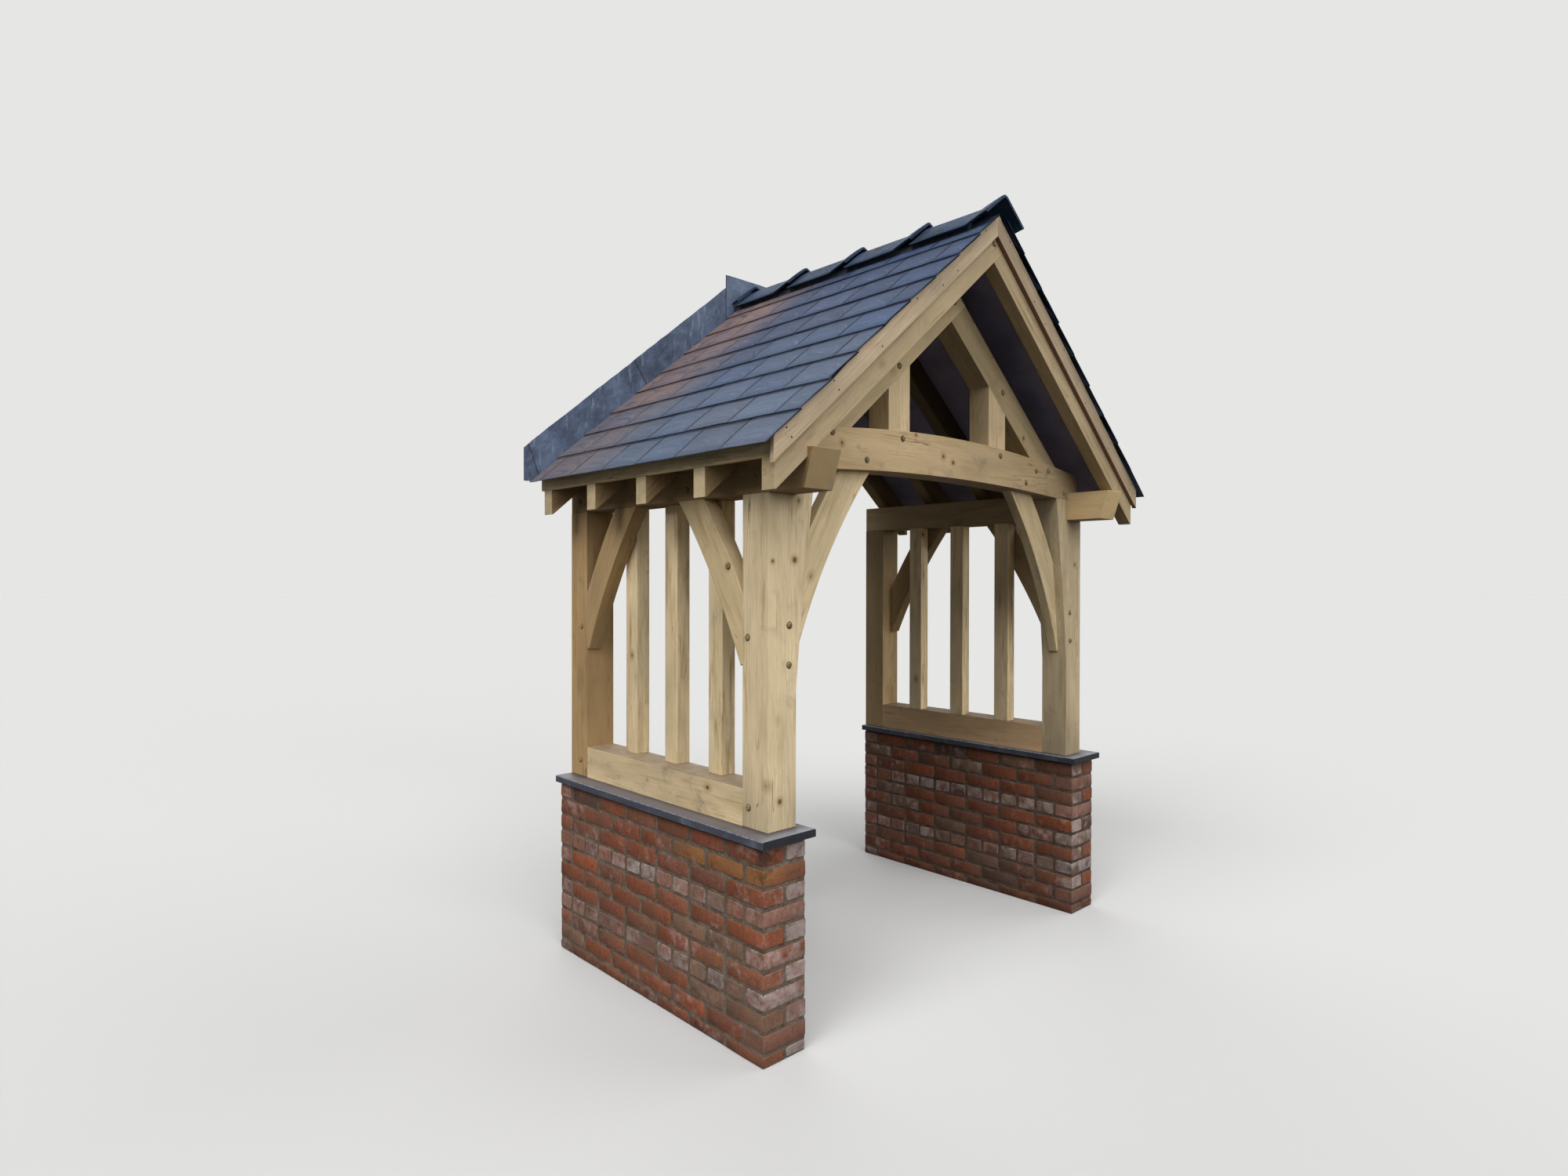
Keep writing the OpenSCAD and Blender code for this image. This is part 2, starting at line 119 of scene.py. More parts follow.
def linear(code: str) -> Colour:
    """Turns an sRGB hex colour into the linear values that shaders take.

    Args:
        code: Six hex digits, as they would show on a screen.

    Returns:
        Linear red, green and blue, with an alpha of one.
    """
    raw = np.array([int(code[i:i + 2], 16) for i in (0, 2, 4)]) / 255.0
    flat = np.where(raw <= 0.04045, raw / 12.92, ((raw + 0.055) / 1.055) ** 2.4)
    return (float(flat[0]), float(flat[1]), float(flat[2]), 1.0)


def rgb(code: str) -> np.ndarray:
    """Linear red, green and blue of a hex colour."""
    return np.array(linear(code)[:3])


def ripple(points: np.ndarray, length: float, seed: int, waves: int = 9) -> np.ndarray:
    """Smooth random height at each point, mostly between -1.5 and 1.5.

    The height is a sum of sine waves with random directions and phases, and with lengths spread
    around the given one, divided by the root of their number.

    Args:
        points: Any array of points, with x, y and z last.
        length: Mean wavelength in metres.
        seed: Number that fixes the directions and phases.
        waves: Number of sine waves.

    Returns:
        One height for each point.
    """
    rng = np.random.default_rng(seed)
    heading = rng.normal(size=(waves, 3))
    heading /= np.linalg.norm(heading, axis=1, keepdims=True)
    pace = 2 * math.pi / (length * rng.uniform(0.55, 1.6, waves))
    phase = rng.uniform(0, 2 * math.pi, waves)
    return np.sin(points @ heading.T * pace + phase).sum(-1) / math.sqrt(waves)


# Surfaces.


def linked(name: str, data: Any) -> bpy.types.Object:
    """Puts data into a new object of the scene.

    Args:
        name: The object's name.
        data: A mesh, a lamp or a camera.

    Returns:
        The new object.
    """
    thing = bpy.data.objects.new(name, data)
    bpy.context.scene.collection.objects.link(thing)
    return thing


@dataclass
class Shell:
    """Points and faces of a closed surface, or of many; notes are more vectors of the points."""

    points: np.ndarray
    quads: np.ndarray
    caps: List[List[int]] = field(default_factory=list)
    tint: Optional[np.ndarray] = None
    notes: Dict[str, np.ndarray] = field(default_factory=dict)

    @staticmethod
    def from_rings(rings: np.ndarray, tint: Optional[np.ndarray] = None) -> "Shell":
        """Skins closed rings into solids with flat ends.

        Point p of ring r joins points p and p + 1 of ring r + 1, and the first and last rings
        of each solid are filled with one face each.

        Args:
            rings: Points as (solids, rings, points on a ring, 3).
            tint: Colour of each solid as (solids, 4), or of each point, or none.

        Returns:
            The solids as one shell.
        """
        solids, count, around, _ = rings.shape
        index = np.arange(solids * count * around).reshape(solids, count, around)
        ahead = np.roll(index, -1, axis=2)
        quads = np.stack([index[:, :-1], ahead[:, :-1], ahead[:, 1:], index[:, 1:]], -1)
        caps = index[:, 0, ::-1].tolist() + index[:, -1].tolist()
        if tint is not None and tint.ndim == 2:
            tint = np.repeat(tint, count * around, axis=0)
        spread = None if tint is None else tint.reshape(-1, 4)
        return Shell(rings.reshape(-1, 3), quads.reshape(-1, 4), caps, spread)

    @staticmethod
    def from_sheet(front: np.ndarray, back: np.ndarray, tint: np.ndarray) -> "Shell":
        """Closes two grids of the same size into one thin solid.

        Each ring goes up the front grid and down the back one.

        Args:
            front: Points as (across, up, 3).
            back: Points behind them.
            tint: Colour of each point of the front, also used behind it.

        Returns:
            The solid.
        """
        return Shell.from_rings(np.concatenate([front, back[:, ::-1]], axis=1)[None],
                                np.concatenate([tint, tint[:, ::-1]], axis=1)[None])

    def joined(self, other: "Shell") -> "Shell":
        """Makes one shell of two, with the second one's faces renumbered.

        Args:
            other: The second shell.

        Returns:
            Both as one.
        """
        shift = len(self.points)
        tint = None
        if self.tint is not None and other.tint is not None:
            tint = np.concatenate([self.tint, other.tint])
        return Shell(np.concatenate([self.points, other.points]),
                     np.concatenate([self.quads, other.quads + shift]),
                     self.caps + [[i + shift for i in cap] for cap in other.caps], tint)

    def piece(self, name: str, finish: Material, slot: str,
              smooth_below: float = 40.0) -> bpy.types.Object:
        """Puts the shell into a Blender object that rides on the part.

        Args:
            name: The object's name.
            finish: Its material.
            slot: A name for the finish's slot; not used.
            smooth_below: Edges that turn by less than this many degrees are smooth.

        Returns:
            The new object.
        """
        mesh = bpy.data.meshes.new(name)
        mesh.from_pydata(self.points.tolist(), [], self.quads.tolist() + self.caps)
        if self.tint is not None:
            layer = mesh.attributes.new("tint", "FLOAT_COLOR", "POINT")
            layer.data.foreach_set("color", self.tint.astype(np.float32).ravel())
        for title, vectors in self.notes.items():
            note = mesh.attributes.new(title, "FLOAT_VECTOR", "POINT")
            note.data.foreach_set("vector", vectors.astype(np.float32).ravel())
        work = bmesh.new()
        work.from_mesh(mesh)
        bmesh.ops.recalc_face_normals(work, faces=work.faces)
        for edge in work.edges:
            edge.smooth = edge.calc_face_angle(0.0) < math.radians(smooth_below)
        for face in work.faces:
            face.smooth = True
        work.to_mesh(mesh)
        work.free()
        mesh.materials.append(finish)
        thing = linked(name, mesh)
        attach(thing, "root")
        LOG.info("%s: %d faces", name, len(mesh.polygons))
        return thing


def rounded_box_rings(half: np.ndarray, arris: np.ndarray) -> np.ndarray:
    """Rings of boxes with rounded edges about the origin, carried along their own x.

    Each ring is a rectangle whose four corners are quarter circles of three points. The first
    and last rings are drawn in by a share of the radius, and a ring in the middle lets the
    faces bow.

    Args:
        half: Half sizes along x, y and z as (boxes, 3).
        arris: Radius of the edges, one for each box.

    Returns:
        Points as (boxes, 5, 12, 3).
    """
    turn = np.radians(np.concatenate([np.arange(0, 91, 45) + 90 * i for i in range(4)]))
    corner = np.repeat(np.array([[1, 1], [-1, 1], [-1, -1], [1, -1]], float), 3, axis=0)
    along = np.array([-1.0, -1.0, 0.0, 1.0, 1.0])
    pull = np.array([0.0, 1.0, 0.0, -1.0, 0.0])
    drawn_in = np.array([0.7, 0.0, 0.0, 0.0, 0.7])
    r = arris[:, None, None]
    x = along[None, :, None] * half[:, 0, None, None] + pull[None, :, None] * r
    x = np.broadcast_to(x, (len(half), len(along), len(turn)))
    reach = half[:, None, None, 1:] - r[..., None]
    ring = corner[None, None] * reach + np.stack([np.cos(turn), np.sin(turn)], -1) * r[..., None]
    ring = ring - drawn_in[None, :, None, None] * corner[None, None] * r[..., None]
    return np.concatenate([x[..., None], np.broadcast_to(ring, x.shape + (2,))], -1)


# Materials.


class NodeSheet:
    """Adds shader nodes to one material or world and joins them."""

    def __init__(self, owner: Union[Material, bpy.types.World]) -> None:
        """Starts an empty sheet of nodes.

        Args:
            owner: What the nodes belong to.
        """
        self.owner = owner
        owner.use_nodes = True
        self.tree = owner.node_tree
        self.tree.nodes.clear()

    @staticmethod
    def material(name: str) -> "NodeSheet":
        """An empty sheet for a new material."""
        return NodeSheet(bpy.data.materials.new(name))

    def add(self, kind: str, inputs: Optional[Dict[Any, Any]] = None,
            **settings: Any) -> bpy.types.Node:
        """Adds one node.

        Args:
            kind: Type of the node, without its ShaderNode.
            inputs: Sockets by name or number, with a value or a socket to join to each.
            settings: Properties of the node.

        Returns:
            The node.
        """
        node = self.tree.nodes.new("ShaderNode" + kind)
        for key, value in settings.items():
            setattr(node, key, value)
        for key, value in (inputs or {}).items():
            if isinstance(value, Socket):
                self.tree.links.new(value, node.inputs[key])
            else:
                node.inputs[key].default_value = value
        return node

    def where(self) -> Socket:
        """The place on the object."""
        return self.add("TexCoord").outputs["Object"]

    def attribute(self, name: str) -> bpy.types.NodeOutputs:
        """Outputs of a value that the mesh's points carry."""
        return self.add("Attribute", attribute_name=name).outputs

    def parts(self, vector: Socket) -> bpy.types.NodeOutputs:
        """The x, y and z of a vector."""
        return self.add("SeparateXYZ", {0: vector}).outputs

    def normal(self) -> bpy.types.NodeOutputs:
        """The x, y and z of the way that a face looks."""
        return self.parts(self.add("NewGeometry").outputs["Normal"])

    def outward(self, where: Socket) -> Socket:
        """How far a face looks away from the passage: 1 outwards, -1 into the passage."""
        return self.times(self.math("SIGN", self.parts(where)[0]), self.normal()[0])

    def forward(self) -> Socket:
        """How far a face looks to the front: 1 straight ahead."""
        return self.times(self.normal()[1], -1.0)

    def math(self, operation: str, *values: Value) -> Socket:
        """One operation on numbers, such as ADD or POWER."""
        return self.add("Math", dict(enumerate(values)), operation=operation).outputs[0]

    def times(self, first: Value, second: Value, *plus: Value) -> Socket:
        """Two numbers multiplied, and a third one added if it is given."""
        return self.math("MULTIPLY_ADD" if plus else "MULTIPLY", first, second, *plus)

    def plus(self, first: Value, second: Value) -> Socket:
        """Two numbers added."""
        return self.math("ADD", first, second)

    def minus(self, first: Value, second: Value) -> Socket:
        """One number less another."""
        return self.math("SUBTRACT", first, second)

    def vector(self, operation: str, *values: Any) -> Socket:
        """One operation on vectors that gives a vector."""
        return self.add("VectorMath", dict(enumerate(values)), operation=operation).outputs[0]

    def measure(self, operation: str, *values: Any) -> Socket:
        """One operation on vectors that gives a number, such as LENGTH."""
        return self.add("VectorMath", dict(enumerate(values)), operation=operation).outputs["Value"]

    def scaled(self, vector: Socket, size: Sequence[float]) -> Socket:
        """A vector with each part multiplied by its own number."""
        return self.vector("MULTIPLY", vector, tuple(size))

    def drawn(self, vector: Socket, share: float) -> Socket:
        """A vector with its x multiplied by a share, which draws a pattern out along x."""
        return self.scaled(vector, (share, 1.0, 1.0))

    def noise(self, vector: Socket, scale: float, detail: float = 2.0, roughness: float = 0.5,
              distortion: float = 0.0, kind: str = "Fac") -> Socket:
        """Noise of a given scale, as a number, or as three with the kind Color."""
        return self.add("TexNoise", {"Vector": vector, "Scale": scale, "Detail": detail,
                                     "Roughness": roughness, "Distortion": distortion}).outputs[kind]

    def span(self, value: Socket, low: float, high: float, start: float = 0.0,
             end: float = 1.0, smooth: bool = True) -> Socket:
        """Maps a number from low and high to start and end, and holds it beyond them."""
        ends = {"Value": value, "From Min": low, "From Max": high, "To Min": start, "To Max": end}
        kind = "SMOOTHSTEP" if smooth else "LINEAR"
        return self.add("MapRange", ends, interpolation_type=kind).outputs[0]

    def mix(self, factor: Value, first: Any, second: Any) -> Socket:
        """Mixes two colours, each a socket, a hex code or linear values."""
        first, second = (linear(colour) if isinstance(colour, str) else colour
                         for colour in (first, second))
        return self.add("Mix", {0: factor, 6: first, 7: second}, data_type="RGBA").outputs[2]

    def stain(self, colour: Socket, code: str, value: Socket, low: float, high: float,
              amount: float = 1.0) -> Socket:
        """Mixes a hex colour in: none of it where a number is low, the amount where it is high."""
        return self.mix(self.span(value, low, high, 0.0, amount), colour, code)

    def shade(self, colour: Socket, amount: Value) -> Socket:
        """A colour with its red, green and blue multiplied by one number."""
        return self.add("VectorMath", {0: colour, "Scale": amount}, operation="SCALE").outputs[0]

    def mottle(self, colour: Socket, value: Socket, low: float, high: float, dark: float,
               light: float, smooth: bool = False) -> Socket:
        """Shades a colour by one number where another is low, and by a second where it is high."""
        return self.shade(colour, self.span(value, low, high, dark, light, smooth))

    def finish(self, colour: Socket, roughness: Value, height: Socket, depth: float,
               **constants: float) -> Material:
        """Joins the shader and the output.

        Args:
            colour: Socket of the base colour.
            roughness: Number or socket.
            height: Socket of the surface's height.
            depth: Metres that a height of one stands for.
            constants: Values set on the shader's own sockets, by name.

        Returns:
            The material.
        """
        bump = self.add("Bump", {"Height": height, "Distance": depth, "Strength": 1.0}).outputs[0]
        shader = self.add("BsdfPrincipled", {"Base Color": colour, "Roughness": roughness,
                                             "Normal": bump})
        for key, value in constants.items():
            shader.inputs[key.replace("_", " ")].default_value = value
        self.add("OutputMaterial", {0: shader.outputs[0]})
        return self.owner


@dataclass
class Grain:
    """Sockets of a timber's pattern: the place along and across the grain, and its traits."""

    local: Socket
    ring: Socket
    streak: Socket
    fine: Socket
    broad: Socket
    smudge: Socket
    heart: Socket
    halo: Socket
    crack: Socket


@dataclass(frozen=True)
class GreenOak:
    """Green oak, sawn and lightly planed: pale tan with fine rings, streaks and few knots."""

    name: str
    run: Triple
    pith: Triple
    seed: float = 0.0
    pale: str = "ceba94"
    ring: str = "b69e72"
    streak: str = "987a4c"
    stain: str = "7a7260"
    knot: str = "4a3523"
    cut_end: str = "a38c66"
    ring_width: float = 0.0046
    repeat: float = 0.0
    row_start: float = 0.0
    stained: float = 0.35
    streaked: float = 0.62
    end_from: float = 0.86
    # Painted light and shade: a level that makes the whole timber lighter or darker.
    tone: float = 1.0
    knots_at: Tuple[Tuple[float, float, float, float], ...] = ()
    edge_line: float = 0.0
    edge_stain: str = "8f6248"
    dusty: float = 0.0
    dust: str = "7b6c5a"
    # Painted light and shade along an axis; on the front posts it darkens the foot, as grime.
    fade: Tuple[float, ...] = ()
    # Painted light on the faces turned to the front.
    front: float = 1.0

    @property
    def axis(self) -> Vector:
        """Direction of the grain."""
        return Vector(self.run).normalized()

    def make(self) -> Material:
        """Builds the material: pattern, colours, marks, and painted light and shade, in that order.

        Returns:
            The material.
        """
        sheet = NodeSheet.material(self.name)
        grain = self.pattern(sheet)
        colour = self.sawn_ends(sheet, grain, self.long_grain(sheet, grain))
        colour = self.painted_light_and_shade(sheet, self.marks(sheet, grain, colour))
        height = sheet.times(grain.ring, 0.25)
        height = sheet.times(grain.fine, 0.35, height)
        height = sheet.times(grain.streak, 0.6, height)
        height = sheet.minus(height, sheet.times(grain.crack, 1.2))
        height = sheet.minus(height, sheet.times(grain.heart, 0.5))
        rough = sheet.span(grain.fine, 0.3, 0.7, 0.66, 0.82, False)
        return sheet.finish(colour, rough, height, 0.0007, Specular_IOR_Level=0.32)

    def pattern(self, sheet: NodeSheet) -> Grain:
        """Works out the pattern.

        It is a solid one: x is the distance along the grain and y and z are those across it,
        from a pith beside the timber. The rings are waves of the distance from the pith, which
        noise stretched along the grain makes wander and knots push aside. So the faces show
        long grain, and the sawn ends show arcs.

        Args:
            sheet: The sheet to add to.

        Returns:
            The pattern.
        """
        other = Vector((0, 0, 1)) if abs(self.axis.z) < 0.5 else Vector((1, 0, 0))
        side = self.axis.cross(other).normalized()
        turn = Matrix((self.axis, side, self.axis.cross(side))).transposed().to_euler()
        where = self.shuffled(sheet, sheet.where()) if self.repeat > 0.0 else sheet.where()
        local = sheet.add("Mapping", {"Vector": where, "Location": self.pith, "Rotation": turn},
                          vector_type="TEXTURE").outputs[0]
        local = sheet.vector("ADD", local, (self.seed, 0.0, 0.0))
        stretched = sheet.drawn(local, 0.09)

        knots = sheet.add("TexVoronoi", {"Vector": sheet.drawn(local, 0.72), "Scale": 4.4})
        near = knots.outputs["Distance"]
        wander = sheet.noise(stretched, 5.0, kind="Color")
        wander = sheet.vector("SUBTRACT", wander, (0.5, 0.5, 0.5))
        bent = sheet.vector("ADD", local, sheet.scaled(wander, (0.0, 0.055, 0.055)))
        across = sheet.drawn(bent, 0.0)
        tremor = sheet.noise(sheet.drawn(local, 0.16), 42.0)
        phase = sheet.times(sheet.measure("LENGTH", across), 2 * math.pi / self.ring_width)
        phase = sheet.plus(phase, sheet.times(tremor, 5.0))
        push = sheet.span(near, 0.0, 0.3, 1.0, 0.0)
        phase = sheet.plus(phase, sheet.times(push, 9.0))
        ring = sheet.times(sheet.math("SINE", phase), 0.5, 0.5)
        ring = sheet.math("POWER", ring, 2.2)
        band = sheet.noise(across, 31.0, 3.0, 0.6)
        ring = sheet.times(ring, sheet.span(band, 0.3, 0.7, 0.25, 1.0))

        broad = sheet.noise(sheet.drawn(local, 0.28), 7.0, 3.0, 0.55)
        check = sheet.noise(sheet.drawn(local, 0.05), 24.0)
        crack = sheet.math("ABSOLUTE", sheet.minus(check, 0.5))
        crack = sheet.span(crack, 0.0015, 0.006, 1.0, 0.0)
        return Grain(local, ring, broad=broad,
                     streak=sheet.noise(stretched, 34.0, 4.0, 0.6, 0.3),
                     fine=sheet.noise(sheet.drawn(local, 0.035), 260.0, 3.0, 0.6),
                     smudge=sheet.noise(local, 9.0, 5.0, 0.62, 0.6),
                     heart=sheet.span(near, 0.02, 0.05, 1.0, 0.0),
                     halo=sheet.span(near, 0.03, 0.14, 1.0, 0.0),
                     crack=sheet.times(crack, sheet.span(broad, 0.53, 0.6)))

    def long_grain(self, sheet: NodeSheet, grain: Grain) -> Socket:
        """Colours the faces along the grain.

        Rings and streaks lie over the pale wood, then golden patches, broad and fine shading,
        bright flecks and grey smudges. Knots have a halo and a dark heart, and cracks are dark.

        Args:
            sheet: The sheet to add to.
            grain: The pattern.

        Returns:
            The colour.
        """
        golden = sheet.noise(sheet.drawn(grain.local, 0.2), 13.0, 3.0, 0.6, 0.4)
        fleck = sheet.noise(sheet.drawn(grain.local, 0.25), 150.0, 1.0)
        rings = sheet.times(grain.ring, 0.66)
        colour = sheet.mix(rings, self.pale, self.ring)
        colour = sheet.stain(colour, self.streak, grain.streak, 0.5, 0.78, self.streaked)
        colour = sheet.stain(colour, self.ring, golden, 0.52, 0.72, 0.5)
        colour = sheet.mottle(colour, grain.broad, 0.3, 0.72, 0.8, 1.16)
        colour = sheet.mottle(colour, grain.fine, 0.32, 0.68, 0.9, 1.07)
        colour = sheet.mottle(colour, fleck, 0.62, 0.72, 1.0, 1.07, True)
        colour = sheet.stain(colour, self.stain, grain.smudge, 0.55, 0.78, self.stained)
        for part, share, code in ((grain.halo, 0.55, self.streak), (grain.heart, 0.85, self.knot),
                                  (grain.crack, 0.6, self.knot)):
            colour = sheet.mix(sheet.times(part, share), colour, code)
        return colour

    def sawn_ends(self, sheet: NodeSheet, grain: Grain, colour: Socket) -> Socket:
        """Colours the faces that the grain runs out of: arcs of the rings, sawn rough and stained.

        Args:
            sheet: The sheet to add to.
            grain: The pattern.
            colour: Colour of the other faces.

        Returns:
            The colour.
        """
        facing = sheet.add("NewGeometry").outputs["Normal"]
        facing = sheet.math("ABSOLUTE", sheet.measure("DOT_PRODUCT", facing, tuple(self.axis)))
        end = sheet.span(facing, self.end_from, self.end_from + 0.11)
        grainy = sheet.noise(sheet.drawn(grain.local, 0.0), 420.0)
        rings = sheet.times(grain.ring, 0.5)
        sawn = sheet.mix(rings, self.cut_end, self.streak)
        sawn = sheet.mottle(sawn, grainy, 0.3, 0.7, 0.84, 1.12)
        sawn = sheet.stain(sawn, self.stain, grain.smudge, 0.45, 0.7, 0.5)
        return sheet.mix(sheet.times(end, 0.8), colour, sawn)

    def marks(self, sheet: NodeSheet, grain: Grain, colour: Socket) -> Socket:
        """Adds single knots, a stained edge and dust, where the timber has them.

        A single knot is a ball of dark heartwood at a given place, made ragged by the smudge
        noise. The edge line, given as its distance from the origin square to a slope, stains
        what lies below it. Dust lies on the level faces.

        Args:
            sheet: The sheet to add to.
            grain: The pattern.
            colour: Colour without the marks.

        Returns:
            The colour.
        """
        where = sheet.where()
        for x, y, z, size in self.knots_at:
            gap = sheet.measure("LENGTH", sheet.vector("SUBTRACT", where, (x, y, z)))
            ragged = sheet.times(grain.smudge, 1.6 * size, -0.8 * size)
            gap = sheet.plus(gap, ragged)
            colour = sheet.stain(colour, self.streak, gap, 2.4 * size, 0.9 * size, 0.45)
            colour = sheet.stain(colour, self.knot, gap, 1.1 * size, 0.35 * size, 0.85)
        if self.edge_line:
            square = self.axis.cross(Vector((0, 1, 0)))
            square = square if square.z > 0 else -square
            above = sheet.measure("DOT_PRODUCT", where, tuple(square))
            colour = sheet.stain(colour, self.edge_stain, above, self.edge_line + 0.0022,
                                 self.edge_line + 0.0008, 0.8)
        if self.dusty:
            lies = sheet.span(sheet.normal()[2], 0.85, 0.98, 0.0, self.dusty)
            lies = sheet.times(lies, sheet.span(grain.smudge, 0.3, 0.6, 0.7, 1.0))
            colour = sheet.mix(lies, colour, self.dust)
        return colour

    def painted_light_and_shade(self, sheet: NodeSheet, colour: Socket) -> Socket:
        """Paints light and shade over the timber.

        The fade is an axis (0 to 2), two places on it and the shade at each: light and shade
        painted along the timber, and on the front posts a darker foot, as grime. The front paints
        light on the faces turned to the front, and the tone paints the whole lighter or darker, as
        light and shade.

        Args:
            sheet: The sheet to add to.
            colour: Colour without the shades.

        Returns:
            The colour.
        """
        if self.fade:
            place = sheet.parts(sheet.where())[int(self.fade[0])]
            colour = sheet.shade(colour, sheet.span(place, *self.fade[1:]))
        if self.front != 1.0:
            colour = sheet.mottle(colour, sheet.forward(), 0.5, 0.8, 1.0, self.front, True)
        return sheet.shade(colour, self.tone)

    def shuffled(self, sheet: NodeSheet, where: Socket) -> Socket:
        """Gives each timber of a row its own piece of the tree.

        The row's cell number along y feeds a white noise, which shifts the pattern, and the
        distance within the cell replaces y.

        Args:
            sheet: The sheet to add to.
            where: Coordinates on the object.

        Returns:
            The new coordinates.
        """
        x, y, z = sheet.parts(sheet.vector("SUBTRACT", where, (0.0, self.row_start, 0.0)))
        cell = sheet.math("FLOOR", sheet.math("DIVIDE", y, self.repeat))
        inner = sheet.minus(y, sheet.times(cell, self.repeat))
        own = sheet.add("TexWhiteNoise", {"W": cell}, noise_dimensions="1D").outputs["Color"]
        inner = sheet.plus(inner, self.row_start)
        joined = sheet.add("CombineXYZ", {0: x, 1: inner, 2: z}).outputs[0]
        return sheet.vector("ADD", joined, sheet.scaled(own, (0.08, 0.08, 3.0)))


@dataclass(frozen=True)
class ReclaimedBrick:
    """Reclaimed hand-made brick, sand-faced, with lime left on it and mortar over its arrises."""

    name: str = "reclaimed_brick"
    lime: str = "a59b97"
    mortar: str = "6d5c4f"
    soot: str = "35271f"
    ember: str = "94573a"
    film: str = "5f4a3e"
    damp_at: Triple = (-1.204, -0.6245, 0.765)

    def edge(self, sheet: NodeSheet, where: Socket) -> Socket:
        """Distance from the nearest edge of the brick's face.

        Along each axis the distance left to the brick's side is its half size less the distance
        from its middle. On a face one of the three is nothing, and the second smallest is the
        distance to the edge: the larger of min(a, b) and min(max(a, b), c), of which the last
        is a smooth one, so that the corners are rounded.

        Args:
            sheet: The sheet to add to.
            where: Coordinates on the object.

        Returns:
            Metres from the edge.
        """
        middle = sheet.attribute("middle")["Vector"]
        reach = sheet.attribute("reach")["Vector"]
        away = sheet.vector("ABSOLUTE", sheet.vector("SUBTRACT", where, middle))
        left = sheet.parts(sheet.vector("SUBTRACT", reach, away))
        least = sheet.math("MINIMUM", left[0], left[1])
        other = sheet.math("SMOOTH_MIN", sheet.math("MAXIMUM", left[0], left[1]), left[2], 0.018)
        return sheet.math("MAXIMUM", least, other)

    def make(self) -> Material:
        """Builds the material.

        The base is each brick's own tint. Noise drawn out upright gives the kiln's streaks, a
        fine noise gives the sand, and the tint's alpha is the share of the face that lime
        still covers. Mortar smears over the edges by a ragged few millimetres.

        Returns:
            The material.
        """
        sheet = NodeSheet.material(self.name)
        where = sheet.where()
        tint = sheet.attribute("tint")
        sand = sheet.noise(where, 420.0, 3.0, 0.65)
        grit = sheet.noise(where, 95.0, 4.0, 0.6)
        kiln = sheet.noise(sheet.scaled(where, (1.0, 1.0, 0.3)), 60.0, 4.0, 0.6, 0.5)
        patch = sheet.noise(where, 30.0, 4.0, 0.6, 0.2)
        cloud = sheet.noise(where, 13.0, 3.0, 0.55)
        colour = sheet.mottle(tint["Color"], kiln, 0.3, 0.7, 0.84, 1.16)
        colour = sheet.stain(colour, self.ember, cloud, 0.5, 0.72, 0.32)
        colour = sheet.mottle(colour, sand, 0.3, 0.7, 0.86, 1.12)
        colour = sheet.stain(colour, self.soot, patch, 0.44, 0.3, 0.45)
        cover = sheet.times(cloud, 1.1, sheet.times(patch, 0.9, -1.25))
        cover = sheet.plus(tint["Alpha"], cover)
        cover = sheet.times(sheet.span(cover, 0.05, 0.6), sheet.span(grit, 0.3, 0.55, 0.35, 0.85))
        colour = sheet.mix(cover, colour, self.lime)
        colour = sheet.stain(colour, self.soot, grit, 0.6, 0.74, 0.45)
        edge = sheet.times(grit, 0.009, self.edge(sheet, where))
        edge = sheet.times(patch, 0.036, edge)
        smear = sheet.span(edge, 0.0205, 0.0275, 0.82, 0.0)
        colour = self.weathered(sheet, where, patch, sheet.mix(smear, colour, self.mortar))
        height = sheet.plus(grit, sheet.times(sand, 0.45))
        height = sheet.times(patch, 0.9, height)
        return sheet.finish(colour, 0.93, height, 0.0028, Specular_IOR_Level=0.2)

    def weathered(self, sheet: NodeSheet, where: Socket, patch: Socket, colour: Socket) -> Socket:
        """Adds what the weather left, and painted shade.

        Mortar lies as a thin film on parts of the wall, a dark run of damp lies under the
        coping at the outer front corner, the foot is splashed, and the sides towards the
        passage are painted darker, as shade.

        Args:
            sheet: The sheet to add to.
            where: Coordinates on the object.
            patch: Noise that makes the stains ragged.
            colour: Colour of the clean wall.

        Returns:
            The colour.
        """
        film = sheet.noise(where, 3.1, 3.0, 0.6)
        colour = sheet.stain(colour, self.film, film, 0.46, 0.66, 0.5)
        offset = sheet.vector("SUBTRACT", where, self.damp_at)
        damp = sheet.measure("LENGTH", sheet.scaled(offset, (13.0, 13.0, 8.0)))
        damp = sheet.plus(damp, sheet.times(patch, 1.6, -0.8))
        colour = sheet.stain(colour, self.soot, damp, 0.9, 0.15, 0.8)
        foot = sheet.plus(sheet.parts(where)[2], sheet.times(patch, 0.08))
        colour = sheet.stain(colour, self.soot, foot, 0.14, 0.02, 0.42)
        # Painted shade on the sides towards the passage.
        return sheet.mottle(colour, sheet.outward(where), -0.3, -0.8, 1.0, 0.85, True)


